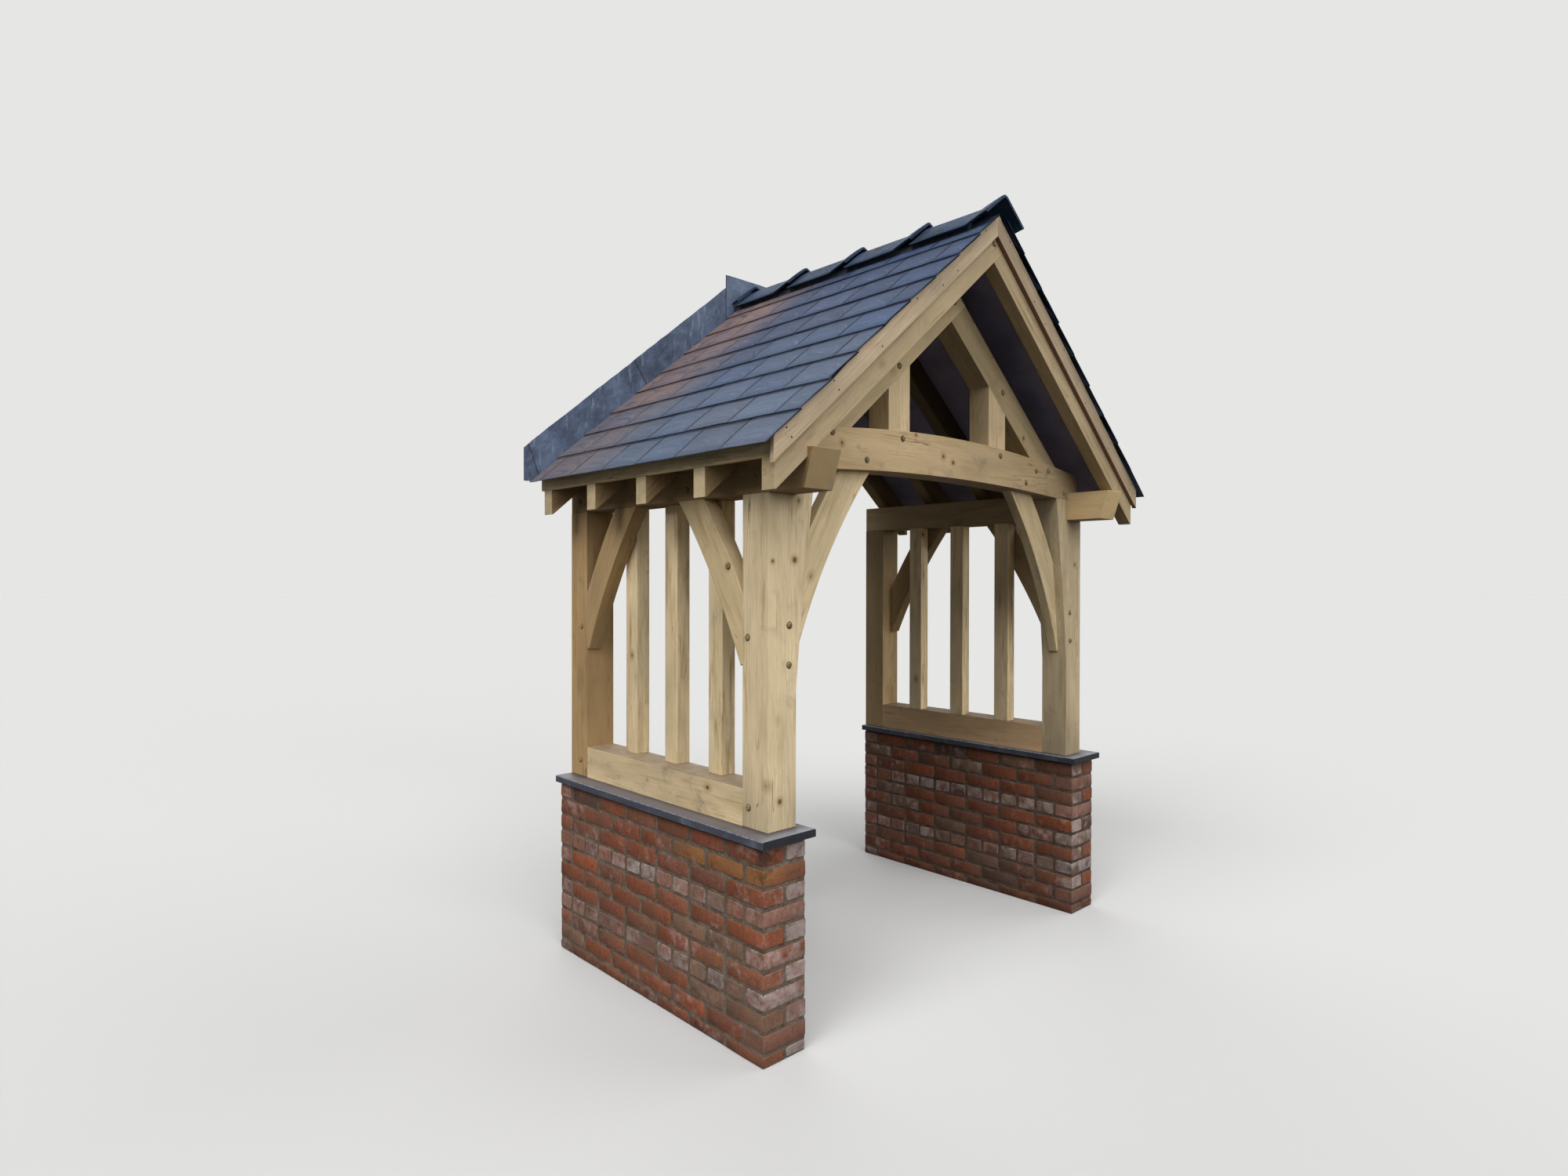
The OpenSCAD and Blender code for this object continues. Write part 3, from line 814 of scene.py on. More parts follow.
@dataclass(frozen=True)
class LimeMortar:
    """Lime and sand mortar, rubbed nearly flush and weathered."""

    name: str = "lime_mortar"
    body: str = "6d5d50"
    pale: str = "84766a"
    dark: str = "46392f"

    def make(self) -> Material:
        """Builds the material: sand grains of fine noise over pale and dark patches.

        Returns:
            The material.
        """
        sheet = NodeSheet.material(self.name)
        where = sheet.where()
        patch = sheet.noise(where, 17.0, 4.0, 0.6)
        sand = sheet.noise(where, 520.0, 2.0, 0.7)
        lump = sheet.noise(where, 130.0, 3.0, 0.6)
        colour = sheet.mix(sheet.span(patch, 0.45, 0.68), self.body, self.pale)
        colour = sheet.stain(colour, self.dark, patch, 0.46, 0.28, 0.75)
        colour = sheet.mottle(colour, sand, 0.3, 0.7, 0.8, 1.2)
        colour = sheet.mottle(colour, lump, 0.3, 0.6, 0.72, 1.08)
        height = sheet.times(lump, 1.6, sand)
        return sheet.finish(colour, 0.95, height, 0.0025, Specular_IOR_Level=0.15)


@dataclass(frozen=True)
class WelshSlate:
    """Welsh roofing slate, riven: blue-grey leaves, pale scars with painted glint, a little rust."""

    name: str = "welsh_slate"
    # Colour of the pale scars, partly a painted glint of the sky.
    pale: str = "74849c"
    rust: str = "806960"
    dark: str = "28313f"

    def make(self) -> Material:
        """Builds the material.

        The base is each slate's own tint, with light and shade painted into it. The riven face is
        a noise stretched up the slope with faint ridges, pale scars lie across it on the slant,
        partly their own colour and partly a painted glint of the sky, and a broad noise puts rust
        on some leaves.

        Returns:
            The material.
        """
        sheet = NodeSheet.material(self.name)
        where = sheet.where()
        tint = sheet.attribute("tint")
        own = sheet.scaled(tint["Color"], (60.0, 60.0, 60.0))
        leaf = sheet.vector("ADD", sheet.scaled(where, (0.45, 1.0, 0.45)), own)
        riven = sheet.noise(leaf, 26.0, 5.0, 0.62, 0.5)
        scale = sheet.noise(leaf, 7.0, 3.0, 0.5)
        turned = sheet.add("Mapping", {"Vector": sheet.vector("ADD", where, own),
                                       "Rotation": (0.0, 0.0, 0.5), "Scale": (0.3, 1.6, 0.3)})
        scar_and_glint = sheet.noise(turned.outputs[0], 19.0, 4.0, 0.6, 0.3)
        fine = sheet.noise(where, 310.0, 2.0, 0.6)
        colour = sheet.mottle(tint["Color"], scale, 0.3, 0.7, 0.86, 1.12)
        colour = sheet.mottle(colour, fine, 0.3, 0.7, 0.94, 1.06)
        colour = sheet.stain(colour, self.dark, riven, 0.45, 0.28, 0.55)
        # Pale scars: partly the riven steps' own colour, partly a painted glint of the sky.
        colour = sheet.stain(colour, self.pale, scar_and_glint, 0.56, 0.74, 0.5)
        warm = sheet.times(tint["Alpha"], sheet.span(scale, 0.22, 0.55))
        colour = sheet.mix(warm, colour, self.rust)
        height = sheet.plus(riven, sheet.times(scale, 0.8))
        height = sheet.times(scar_and_glint, 0.7, height)
        rough = sheet.span(riven, 0.35, 0.65, 0.62, 0.76, False)
        return sheet.finish(colour, rough, height, 0.002, Specular_IOR_Level=0.07)


@dataclass(frozen=True)
class CopingSlate:
    """Sawn slate coping: blue edges, rubbed pale arrises, and dust and mortar on its top."""

    name: str = "coping_slate"
    body: str = "3b3e49"
    pale: str = "868c96"
    dust: str = "686161"
    rubbed: str = "8d96a0"
    rail_in: float = 1.0

    def make(self) -> Material:
        """Builds the material: a dark body, cloudy dust on the level faces, faint saw lines.

        The top is rubbed clean and pale near the front, and painted darker for about 40 mm beside
        the rail and the post, as shade where they meet it. The front end is a much darker cut face,
        and the passage side is painted darker, as shade.

        Returns:
            The material.
        """
        sheet = NodeSheet.material(self.name)
        where = sheet.where()
        cloud = sheet.noise(where, 8.0, 5.0, 0.6, 0.3)
        fine = sheet.noise(where, 240.0, 3.0, 0.6)
        scuff = sheet.noise(where, 60.0, 4.0, 0.65)
        vein = sheet.noise(sheet.scaled(where, (1.0, 0.12, 1.0)), 40.0, 3.0, 0.6)
        up = sheet.normal()[2]
        level = sheet.span(up, 0.9, 0.99)
        x, y, _ = sheet.parts(where)
        colour = sheet.mix(sheet.span(cloud, 0.5, 0.75, 0.0, 0.3), self.body, self.pale)
        colour = sheet.mottle(colour, vein, 0.35, 0.65, 0.84, 1.12)
        laid = sheet.times(level, sheet.span(cloud, 0.3, 0.5, 0.45, 0.85))
        colour = sheet.mix(laid, colour, self.dust)
        back = sheet.times(cloud, 0.3, y)
        rubbed = sheet.times(level, sheet.span(back, -0.42, -0.58, 0.0, 0.75))
        colour = sheet.mix(rubbed, colour, self.rubbed)
        # Painted shade for about 40 mm beside the rail and the post.
        out = sheet.math("ABSOLUTE", x)
        off = sheet.math("MAXIMUM", sheet.minus(out, SIDE_FACE), sheet.minus(self.rail_in, out))
        off = sheet.math("MAXIMUM", off, sheet.minus(POST_FACE, y))
        off = sheet.times(cloud, 0.03, off)
        colour = sheet.mottle(colour, off, 0.018, 0.055, 0.55, 1.08, True)
        colour = sheet.mottle(colour, sheet.forward(), 0.7, 0.95, 1.0, 0.27, True)
        colour = sheet.mottle(colour, fine, 0.3, 0.7, 0.88, 1.12)
        # Painted shade on the side towards the passage.
        colour = sheet.mottle(colour, sheet.outward(where), -0.3, -0.8, 1.0, 0.5, True)
        worn = sheet.times(sheet.span(up, 0.12, 0.5), sheet.span(up, 0.97, 0.8))
        worn = sheet.times(worn, sheet.span(scuff, 0.4, 0.6, 0.2, 0.9))
        colour = sheet.mix(worn, colour, self.pale)
        height = sheet.times(cloud, 0.6, sheet.times(fine, 0.3))
        rough = sheet.span(cloud, 0.3, 0.7, 0.5, 0.7, False)
        return sheet.finish(colour, rough, height, 0.001, Specular_IOR_Level=0.4)


@dataclass(frozen=True)
class RidgeClay:
    """Blue-black clay ridge tile, fired hard, with grey lichen in places."""

    name: str = "ridge_clay"
    body: str = "303f54"
    lichen: str = "56616f"
    dark: str = "1b2330"

    def make(self) -> Material:
        """Builds the material: fired clay, dark clouds and lichen of thresholded noise.

        Returns:
            The material.
        """
        sheet = NodeSheet.material(self.name)
        where = sheet.where()
        cloud = sheet.noise(where, 6.0, 4.0, 0.6)
        spot = sheet.noise(where, 52.0, 4.0, 0.6)
        fine = sheet.noise(where, 300.0, 2.0, 0.6)
        colour = sheet.mix(sheet.span(cloud, 0.4, 0.65, 0.0, 0.7), self.body, self.dark)
        grown = sheet.times(sheet.span(spot, 0.54, 0.66), sheet.span(cloud, 0.58, 0.38))
        colour = sheet.mix(sheet.times(grown, 0.3), colour, self.lichen)
        colour = sheet.mottle(colour, fine, 0.3, 0.7, 0.9, 1.1)
        height = sheet.times(spot, 0.8, sheet.times(fine, 0.4))
        return sheet.finish(colour, sheet.span(spot, 0.4, 0.65, 0.6, 0.85), height, 0.0014,
                            Specular_IOR_Level=0.08)


@dataclass(frozen=True)
class SheetLead:
    """Milled sheet lead, dressed by hand, with a dull blue-grey patina and pale runs."""

    name: str = "sheet_lead"
    body: str = "55637b"
    pale: str = "8290a4"
    dark: str = "3c485c"
    grime: str = "1d232c"

    def make(self) -> Material:
        """Builds the material: soft clouds, runs drawn out downwards, and dressing marks.

        The tint of the mesh makes it lighter or darker, and its alpha is the dirt in the laps.

        Returns:
            The material.
        """
        sheet = NodeSheet.material(self.name)
        where = sheet.where()
        cloud = sheet.noise(where, 9.0, 4.0, 0.55, 0.4)
        run = sheet.noise(sheet.scaled(where, (1.0, 1.0, 0.2)), 55.0, 3.0, 0.6)
        dent = sheet.noise(where, 34.0, 2.0, 0.5)
        colour = sheet.mix(sheet.span(cloud, 0.35, 0.68), self.dark, self.body)
        colour = sheet.stain(colour, self.pale, run, 0.54, 0.78, 0.55)
        tint = sheet.attribute("tint")
        colour = sheet.vector("MULTIPLY", colour, tint["Color"])
        colour = sheet.mix(tint["Alpha"], colour, self.grime)
        height = sheet.plus(dent, sheet.times(cloud, 0.5))
        return sheet.finish(colour, sheet.span(cloud, 0.3, 0.7, 0.44, 0.6, False), height, 0.003,
                            Metallic=0.3, Specular_IOR_Level=0.5)


@dataclass(frozen=True)
class RoofSheet:
    """Woven roofing membrane, spun and coated; its dark underside is painted lilac-grey, as light."""

    name: str = "roof_sheet_painted_light"
    # Painted light: body and thread far lighter than the dark membrane, to lift the shade under the
    # roof.
    body: str = "8b86a2"
    thread: str = "9d98b4"

    def make(self) -> Material:
        """Builds the material: a fine weave of two crossed waves over soft creases.

        Returns:
            The material.
        """
        sheet = NodeSheet.material(self.name)
        where = sheet.where()
        warp, weft = (sheet.add("TexWave", {"Vector": where, "Scale": 130.0}, bands_direction=way)
                      for way in ("X", "Y"))
        weave = sheet.times(warp.outputs["Fac"], weft.outputs["Fac"])
        crease = sheet.noise(where, 6.0, 3.0, 0.5)
        colour = sheet.mix(weave, self.body, self.thread)
        colour = sheet.mottle(colour, crease, 0.3, 0.7, 0.8, 1.2)
        height = sheet.times(crease, 4.0, sheet.times(weave, 0.2))
        return sheet.finish(colour, 0.7, height, 0.002, Specular_IOR_Level=0.3)


@dataclass(frozen=True)
class CutNail:
    """Steel nail head, driven flush and gone dull, with specks of oxide."""

    name: str = "cut_nail"
    body: str = "3a352f"
    oxide: str = "6b4a34"

    def make(self) -> Material:
        """Builds the material: dull steel under specks of oxide.

        Returns:
            The material.
        """
        sheet = NodeSheet.material(self.name)
        speck = sheet.noise(sheet.where(), 900.0, 2.0, 0.6)
        colour = sheet.mix(sheet.span(speck, 0.45, 0.7), self.body, self.oxide)
        return sheet.finish(colour, 0.6, speck, 0.0002, Metallic=0.6)


# Brickwork.


@dataclass
class DwarfWall:
    """One brick wall: a core of mortar with every brick of its bond laid into it."""

    side: Side
    brick: Material
    mortar: Material
    course: float = 0.075
    bed: float = 0.010
    coping_bed: float = 0.010
    header: float = 0.1025
    headers: int = 13
    stretchers: int = 6
    courses: int = 11
    recess: float = 0.0044
    grid: float = 0.012
    fired: Tuple[str, ...] = ("824a31", "7b4530", "80503a", "724a39", "5a4038", "785c49", "8d4e32")
    shares: Tuple[float, ...] = (0.27, 0.22, 0.17, 0.13, 0.05, 0.07, 0.09)
    yellow: str = "8c5f3a"
    red: str = "86513a"
    limed: str = "8f7c74"

    def __post_init__(self) -> None:
        """Takes the wall's size from its node."""
        low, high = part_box(f"brick_wall_{self.side.word}")
        self.low, self.high = np.array(low), np.array(high)
        self.rng = np.random.default_rng(self.side.own((41, 57)))

    def bond(self, row: int) -> Bond:
        """How the given course from the top is laid: every fourth one is all headers."""
        if row % 4 == 3:
            return Bond.HEADERS
        return Bond.CORNER_HEADER if row % 2 else Bond.PAIRS

    def laid_course(self, row: int) -> np.ndarray:
        """Plan of one course.

        The bricks' lengths are added up along the wall, and the upright joints share what is
        left over in equal parts.

        Args:
            row: Course, counted from the top.

        Returns:
            Bricks as (count, 5): start and end along the wall, start and end across it, and 1
            for a header.
        """
        run, across = self.high[1] - self.low[1], self.high[0] - self.low[0]
        bond = self.bond(row)
        if bond is Bond.HEADERS:
            lengths = np.full(self.headers, self.header)
        elif bond is Bond.CORNER_HEADER:
            lengths = np.array([self.header] + [across] * self.stretchers)
        else:
            lengths = np.array([across] * self.stretchers + [self.header])
        joint = (run - lengths.sum()) / (len(lengths) - 1)
        start = np.concatenate([[0.0], np.cumsum(lengths + joint)[:-1]])
        slip = self.rng.uniform(-0.002, 0.002, (2, len(lengths)))
        slip[0, 0] = slip[1, -1] = 0.0
        short = np.isclose(lengths, self.header)
        through = short & (bond is not Bond.PAIRS)
        outer, inner = (np.stack([start + slip[0], start + lengths + slip[1],
                                  np.where(through, 0.0, near), np.where(through, across, far),
                                  short.astype(float)], -1)
                        for near, far in ((0.0, self.header), (across - self.header, across)))
        return np.concatenate([outer, inner[~through]])

    def tints(self, plan: np.ndarray, row: np.ndarray) -> np.ndarray:
        """Colour and share of lime of each brick.

        Each brick draws one of a few fired tones and is made lighter or darker by up to an
        eighth. Headers keep more lime, most of all those of the through courses, and the inner
        bricks that end on the front in the paired courses keep it on that face only. The
        yellow bricks lie near the left front, in the second course. Both walls are darkened a
        little, and the right one is painted much darker, as shade.

        Args:
            plan: The bricks' plans.
            row: Course of each brick.

        Returns:
            Linear colours with the lime in alpha, as (2, bricks, 4): fronts, then the rest.
        """
        header = plan[:, 4] > 0.5
        tones = np.array([rgb(code) for code in self.fired])
        pick = self.rng.choice(len(tones), len(header), p=np.array(self.shares))
        base = tones[pick] * self.rng.uniform(0.87, 1.13, (len(header), 1))
        yellow = (row == 1) & (plan[:, 0] < 0.45) & (self.side is Side.LEFT)
        base = np.where(yellow[:, None], rgb(self.yellow), base)
        limed = rgb(self.limed) * self.rng.uniform(0.8, 1.12, (len(header), 1))
        through = (row % 4 == 3) & header
        inner = (plan[:, 0] < 0.01) & (plan[:, 2] > 0.05) & (row % 2 == 0)
        keep = np.where(through, 0.42, np.where(header, 0.28, 0.06))
        keep = np.stack([np.where(inner, 0.6, keep), keep])[..., None] * ~yellow[:, None]
        keep = keep * self.rng.uniform(0.5, 1.2, (len(header), 1))
        base = base * (1 - keep) + limed * keep
        lime = self.rng.uniform(0.0, 0.42, len(header)) + np.array([0.4, 0.0])[:, None] * inner
        lime = lime + np.where(through, 0.22, 0.0) + np.where(header & ~through, 0.12, 0.0)
        # Painted shade on the right wall; both walls are a little darker.
        base = base * self.side.own((0.95, 0.8))
        return np.concatenate([base, lime[..., None]], -1)

    def boxes(self, plan: np.ndarray, row: np.ndarray) -> Tuple[np.ndarray, np.ndarray]:
        """Corners of the bricks, with each face drawn in by up to about 2 mm.

        The plans are counted from the front and from the outside of the left wall, so that the
        right wall is its mirror image.

        Args:
            plan: The bricks' plans.
            row: Course of each brick.

        Returns:
            Low and high corners, each as (bricks, 3).
        """
        top = self.high[2] - self.coping_bed - self.course * row
        bottom = np.maximum(top - (self.course - self.bed), self.low[2] + 0.0002)
        low = np.stack([self.low[0] + plan[:, 2], self.low[1] + plan[:, 0], bottom], -1)
        high = np.stack([self.low[0] + plan[:, 3], self.low[1] + plan[:, 1], top], -1)
        if self.side is Side.RIGHT:
            both = self.low[0] + self.high[0]
            low[:, 0], high[:, 0] = both - high[:, 0], both - low[:, 0]
        shy = self.rng.uniform(0.0002, 0.0022, (2, len(low), 3)) * (0.5, 1.0, 1.0)
        return low + shy[0], high - shy[1]

    def bricks(self) -> Shell:
        """All the bricks, as boxes with worn edges, each a little out of true.

        Each brick is a box with rounded edges, turned by a fraction of a degree. Its points
        are moved by a ripple of 45 mm waves, no further out than the face of the wall. The
        yellow bricks on the left front turn red halfway.

        Returns:
            The bricks.
        """
        plans = [self.laid_course(row) for row in range(self.courses)]
        row = np.concatenate([np.full(len(p), r) for r, p in enumerate(plans)])
        plan = np.concatenate(plans)
        low, high = self.boxes(plan, row)
        half, centre = (high - low) / 2, (high + low) / 2
        along = half[:, 0] > half[:, 1]
        sized = np.where(along[:, None], half, half[:, [1, 0, 2]])
        rings = rounded_box_rings(sized, self.rng.uniform(0.0035, 0.008, len(half)))
        turned = np.where(along[:, None, None, None], rings, rings[..., [1, 0, 2]] * (-1, 1, 1))
        yaw = self.rng.normal(0, 0.004, len(half))[:, None, None]
        placed = turned + centre[:, None, None]
        placed[..., 0] -= yaw * turned[..., 1]
        placed[..., 1] += yaw * turned[..., 0]
        for part in range(3):
            placed[..., part] += 0.0011 * ripple(placed, 0.045, 70 + part + int(self.side.value))
        placed = np.clip(placed, self.low, self.high - (0, 0, 0.006))
        faced, rest = self.tints(plan, row)[:, :, None, None]
        tints = np.where(placed[..., 1:2] < self.low[1] + 0.006, faced, rest)
        if self.side is Side.LEFT:
            red = (row == 1)[:, None, None] & (placed[..., 1] < self.low[1] + 0.12)
            red = np.clip((placed[..., 0] - self.low[0] - 0.09) / 0.03, 0, 1) * red
            tints[..., :3] += (rgb(self.red) - tints[..., :3]) * red[..., None]
        shell = Shell.from_rings(placed, tints)
        each = placed.shape[1] * placed.shape[2]
        shell.notes = {title: np.repeat(value, each, axis=0)
                       for title, value in (("middle", centre), ("reach", half))}
        return shell

    def core(self) -> Shell:
        """The mortar between the bricks.

        The wall's plan, drawn in by the depth of the joints and cut into 12 mm steps, is
        carried up in 12 mm rings, and a ripple of 25 mm waves moves each point in or out.

        Returns:
            The core.
        """
        low, high = self.low[:2] + self.recess, self.high[:2] - self.recess
        nx, ny = (int(math.ceil(size / self.grid)) for size in high - low)
        x, y = np.linspace(low[0], high[0], nx + 1), np.linspace(low[1], high[1], ny + 1)
        plan = np.concatenate([
            np.stack([x[:-1], np.full(nx, low[1])], -1),
            np.stack([np.full(ny, high[0]), y[:-1]], -1),
            np.stack([x[:0:-1], np.full(nx, high[1])], -1),
            np.stack([np.full(ny, low[0]), y[:0:-1]], -1)])
        levels = np.linspace(self.low[2], self.high[2], int((self.high[2] - self.low[2]) / self.grid))
        ring = np.zeros((1, len(levels), len(plan), 3))
        ring[0, :, :, :2], ring[0, :, :, 2] = plan[None], levels[:, None]
        away = ring - np.array([*(low + high) / 2, 0.0])
        out = np.sign(away) * (np.abs(away) > np.array([*(high - low) / 2, np.inf]) - 1e-6)
        ring += out * 0.0009 * np.clip(ripple(ring, 0.025, 11), -2.0, 2.0)[..., None]
        return Shell.from_rings(ring)

    def build(self) -> None:
        """Makes the wall's two pieces in place of its node."""
        bricks = self.bricks().piece(f"bricks_{self.side.word}", self.brick, "brick")
        mortar = self.core().piece(f"mortar_{self.side.word}", self.mortar, "mortar")
        for piece in (bricks, mortar):
            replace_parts(piece, f"brick_wall_{self.side.word}")


# Roof covering.


@dataclass
class SlateCourses:
    """The slates of one slope, each a riven leaf with dressed edges.

    A slate's section is a ring of points. DOWN is their place: 0 at the head, 1 where the next
    course's tail lies and 2 at the slate's own tail. SKIN is the share of the thickness that
    they stand at, and PAINTED_LIGHT the light and shade painted there: a shadow below the next course's
    tail and light on the dressed tail. ACROSS, EDGE and RIM are the places of the rings over the
    width, their thickness, and the shade painted beside the joints. The set-back is how far each
    course's first slate stays behind the verge, on the left and on the right.
    """

    DOWN: ClassVar[np.ndarray] = np.array([
        0.0, 0.43, 0.94, 0.975, 1.0, 1.05, 1.1, 1.41, 1.83, 1.976, 2.0, 2.0, 1.965, 0.975, 0.94, 0.0])
    SKIN: ClassVar[np.ndarray] = np.array([1.0] * 10 + [0.72, 0.2] + [0.0] * 4)
    PAINTED_LIGHT: ClassVar[np.ndarray] = np.array([
        1.0, 1.0, 0.3, 0.3, 0.3, 0.42, 0.92, 1.0, 1.04, 1.15, 1.9, 2.1, 1.3, 0.6, 0.6, 0.6])
    ACROSS: ClassVar[np.ndarray] = np.array([0.0, 0.03, 0.25, 0.5, 0.75, 0.97, 1.0])
    EDGE: ClassVar[np.ndarray] = np.array([0.35, 1.0, 1.0, 1.0, 1.0, 1.0, 0.35])
    RIM: ClassVar[np.ndarray] = np.array([0.66, 0.98, 1.0, 1.0, 1.0, 0.98, 0.66])

    side: Side
    finish: Material
    thick: float = 0.0065
    gauge: float = 0.195
    length: float = 0.46
    width: float = 0.262
    joint: float = 0.003
    set_back: Tuple[Tuple[float, ...], ...] = (
        (0.012, 0.013, 0.021, 0.026, 0.020, 0.012, 0.006, 0.006, 0.008),
        (0.011, 0.013, 0.012, 0.015, 0.012, 0.013, 0.010, 0.012, 0.011))
    blues: Tuple[str, ...] = ("505d73", "4d5b73", "536073", "4f5b6f", "545e70")

    def __post_init__(self) -> None:
        """Takes the covering's size from its node."""
        low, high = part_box(f"slates_{self.side.word}")
        self.front, self.back = low.y, high.y
        self.reach = max(abs(low.x), abs(high.x))
        self.foot = low.z
        self.rng = np.random.default_rng(self.side.own((7, 19)))

    def on_slope(self, s: np.ndarray, h: np.ndarray, y: np.ndarray) -> np.ndarray:
        """Points of the slope from distances down it, square off it, and back.

        The lowest point of the covering is the underside of the tails, at the slope's full
        length, and every other point is measured from there.

        Args:
            s: Distance down the slope from the ridge line.
            h: Height square off the battens.
            y: Distance back.

        Returns:
            Points.
        """
        x = s * math.cos(PITCH) + h * math.sin(PITCH)
        z = self.foot + (self.slope_length - s) * math.sin(PITCH) + h * math.cos(PITCH)
        return np.stack([self.side.value * x, y, z], -1)

    @property
    def slope_length(self) -> float:
        """Distance down the slope from the ridge line to the lowest tails."""
        return (self.reach - 2 * self.thick * math.sin(PITCH)) / math.cos(PITCH)

    def cuts(self, row: int) -> np.ndarray:
        """Places of the upright joints of one course, half a slate over from the last one.

        Args:
            row: Course, counted from the eaves.

        Returns:
            Distances back, from the verge to the back edge.
        """
        run = self.back - self.front
        first = self.front + self.width * (0.5 if row % 2 else 1.0)
        inner = np.arange(first, self.back - 0.08, self.width)
        inner = inner + self.rng.uniform(-0.012, 0.012, len(inner)) + 0.004 * run
        back_from_verge = self.side.own(self.set_back)
        verge = self.front + back_from_verge[row % len(back_from_verge)]
        return np.concatenate([[verge], inner, [self.back]])

    def course(self, row: int) -> Tuple[np.ndarray, np.ndarray]:
        """One course of slates.

        A slate is a ring in the plane of the slope's fall, carried across its width. From its
        tail the upper side sinks by one thickness in each gauge up the slope, as it rests on
        the two courses below; the lowest course starts to sink one gauge up. The tail edge
        wanders by a few millimetres, and a ripple of 90 mm waves gives the leaf its riven
        swell. A painted shadow darkens the face just below the next course's tail and beside the
        joints, the dressed tail is painted paler, as light, the part of a verge slate that is
        lapped stays clear of the verge, and the lowest slate at the left front runs off at its
        corner.

        Args:
            row: Course, counted from the eaves.

        Returns:
            Rings as (slates, 7, 16, 3), and the colour of each point.
        """
        tail = self.slope_length - self.gauge * row
        edges = self.cuts(row)
        count = len(edges) - 1
        low = edges[:-1] + np.where(np.arange(count) > 0, self.joint / 2, 0.0)
        high = edges[1:] - np.where(np.arange(count) < count - 1, self.joint / 2, 0.0)
        y = low[:, None] + (high - low)[:, None] * self.ACROSS
        thick = self.thick * self.rng.uniform(0.82, 1.0, (count, 1, 1))
        slip = self.rng.uniform(-0.0022, 0.0012, (count, 1, 1))
        head = max(tail - self.length, 0.012)
        lap = max(tail - self.gauge, head + 0.001)
        s = head + (lap - head) * np.minimum(self.DOWN, 1.0) + \
            (tail - lap + np.minimum(slip, 0.0)) * np.maximum(self.DOWN - 1.0, 0.0)
        s = np.broadcast_to(s, (count, len(self.ACROSS), len(self.DOWN))).copy()
        y = np.broadcast_to(y[:, :, None], s.shape).copy()
        from_verge = np.linspace(1, 0, len(self.ACROSS))[:, None]
        y[0] += 0.04 * (self.DOWN < 0.95) * from_verge
        if row == 0 and self.side is Side.LEFT:
            y[0] += 0.018 * np.clip((s[0] - tail + 0.15) / 0.15, 0, 1) * from_verge
        layers, level = (2.0, self.gauge) if row == 0 else (3.0, 0.0)
        below = np.maximum(tail - s - level, 0.0)
        upper = layers * self.thick - self.thick * below / self.gauge
        h = upper - thick * (1.0 - self.SKIN)
        h = np.where(self.SKIN > 0.9, h - (1 - self.EDGE[:, None]) * 0.0012, h)
        spot = np.stack([s, h, y], -1) + self.rng.uniform(0, 9, (count, 1, 1, 3))
        dressed = (self.DOWN > 1.8) & (self.SKIN > 0.1)
        s = np.where(dressed, s - 0.0016 * (1 + ripple(spot, 0.035, 3)), s)
        h = h + 0.0006 * ripple(spot, 0.09, 5) * (self.SKIN > 0.9)
        tint = np.broadcast_to(self.leaf_tints(low, tail)[:, None, None], s.shape + (4,)).copy()
        # Painted shadow below the next course's tail and beside the joints, and painted light on the
        # dressed tail.
        tint[..., :3] *= self.PAINTED_LIGHT[:, None] * self.RIM[:, None, None]
        tint[..., 3] *= np.clip((y - self.back + 0.75) / 0.5, 0.06, 0.85)
        return self.on_slope(s, np.maximum(h, 0.0), y), tint

    def slates(self) -> Shell:
        """All the courses, from the eaves up."""
        rings, tints = zip(*(self.course(row) for row in range(int(self.slope_length / self.gauge))))
        return Shell.from_rings(np.concatenate(rings), np.concatenate(tints))

    def leaf_tints(self, start: np.ndarray, tail: float) -> np.ndarray:
        """Colour of each slate of a course, with its share of rust in alpha.

        Blues vary a little from leaf to leaf, are deeper and bluer towards the ridge, and are
        deeper again further back. The rust is weaker in the lowest courses and on the right.

        Args:
            start: Front edge of each slate.
            tail: Distance of the course down the slope.

        Returns:
            Linear colours with the rust in alpha.
        """
        blues = np.array([rgb(code) for code in self.blues])
        pick = self.rng.integers(0, len(blues), len(start))
        base = blues[pick] * self.rng.uniform(0.87, 1.13, (len(start), 1))
        deep = ((0.42, 0.45, 0.63, 1.0), (0.53, 0.57, 0.73, 1.0), (0.68, 0.74, 0.84, 1.0))
        base = base * [np.interp(tail, (0.3, 0.6, 1.0, 1.45), part) for part in deep]
        base = base * np.interp(start, (-0.35, 0.15), (1.0, 0.76))[:, None]
        rust = self.rng.uniform(0.65, 1.0, len(start)) * np.interp(tail, (1.0, 1.45), (1.0, 0.55))
        rust = rust * self.side.own((1.0, 0.5))
        return np.concatenate([base, rust[:, None]], 1)

    def under_eaves(self) -> Shell:
        """The short slates under the lowest course, flat on the eaves board, set back.

        Returns:
            The slates.
        """
        edges = self.cuts(1)
        edges[0] = self.front + 0.058
        y = np.stack([edges[:-1] + 0.001, edges[1:] - 0.001], 1)
        head, tail = self.slope_length - 0.19, self.slope_length - 0.026
        s = np.array([head, tail, tail, head])
        h = np.array([self.thick, self.thick, 0.0, 0.0]) * 0.97
        shape = (len(y), 2, len(s))
        ring = self.on_slope(np.broadcast_to(s, shape), np.broadcast_to(h, shape),
                             np.broadcast_to(y[:, :, None], shape))
        tint = self.leaf_tints(edges[:-1], 0.0)
        tint[:, 3] *= 0.1
        return Shell.from_rings(ring, tint)

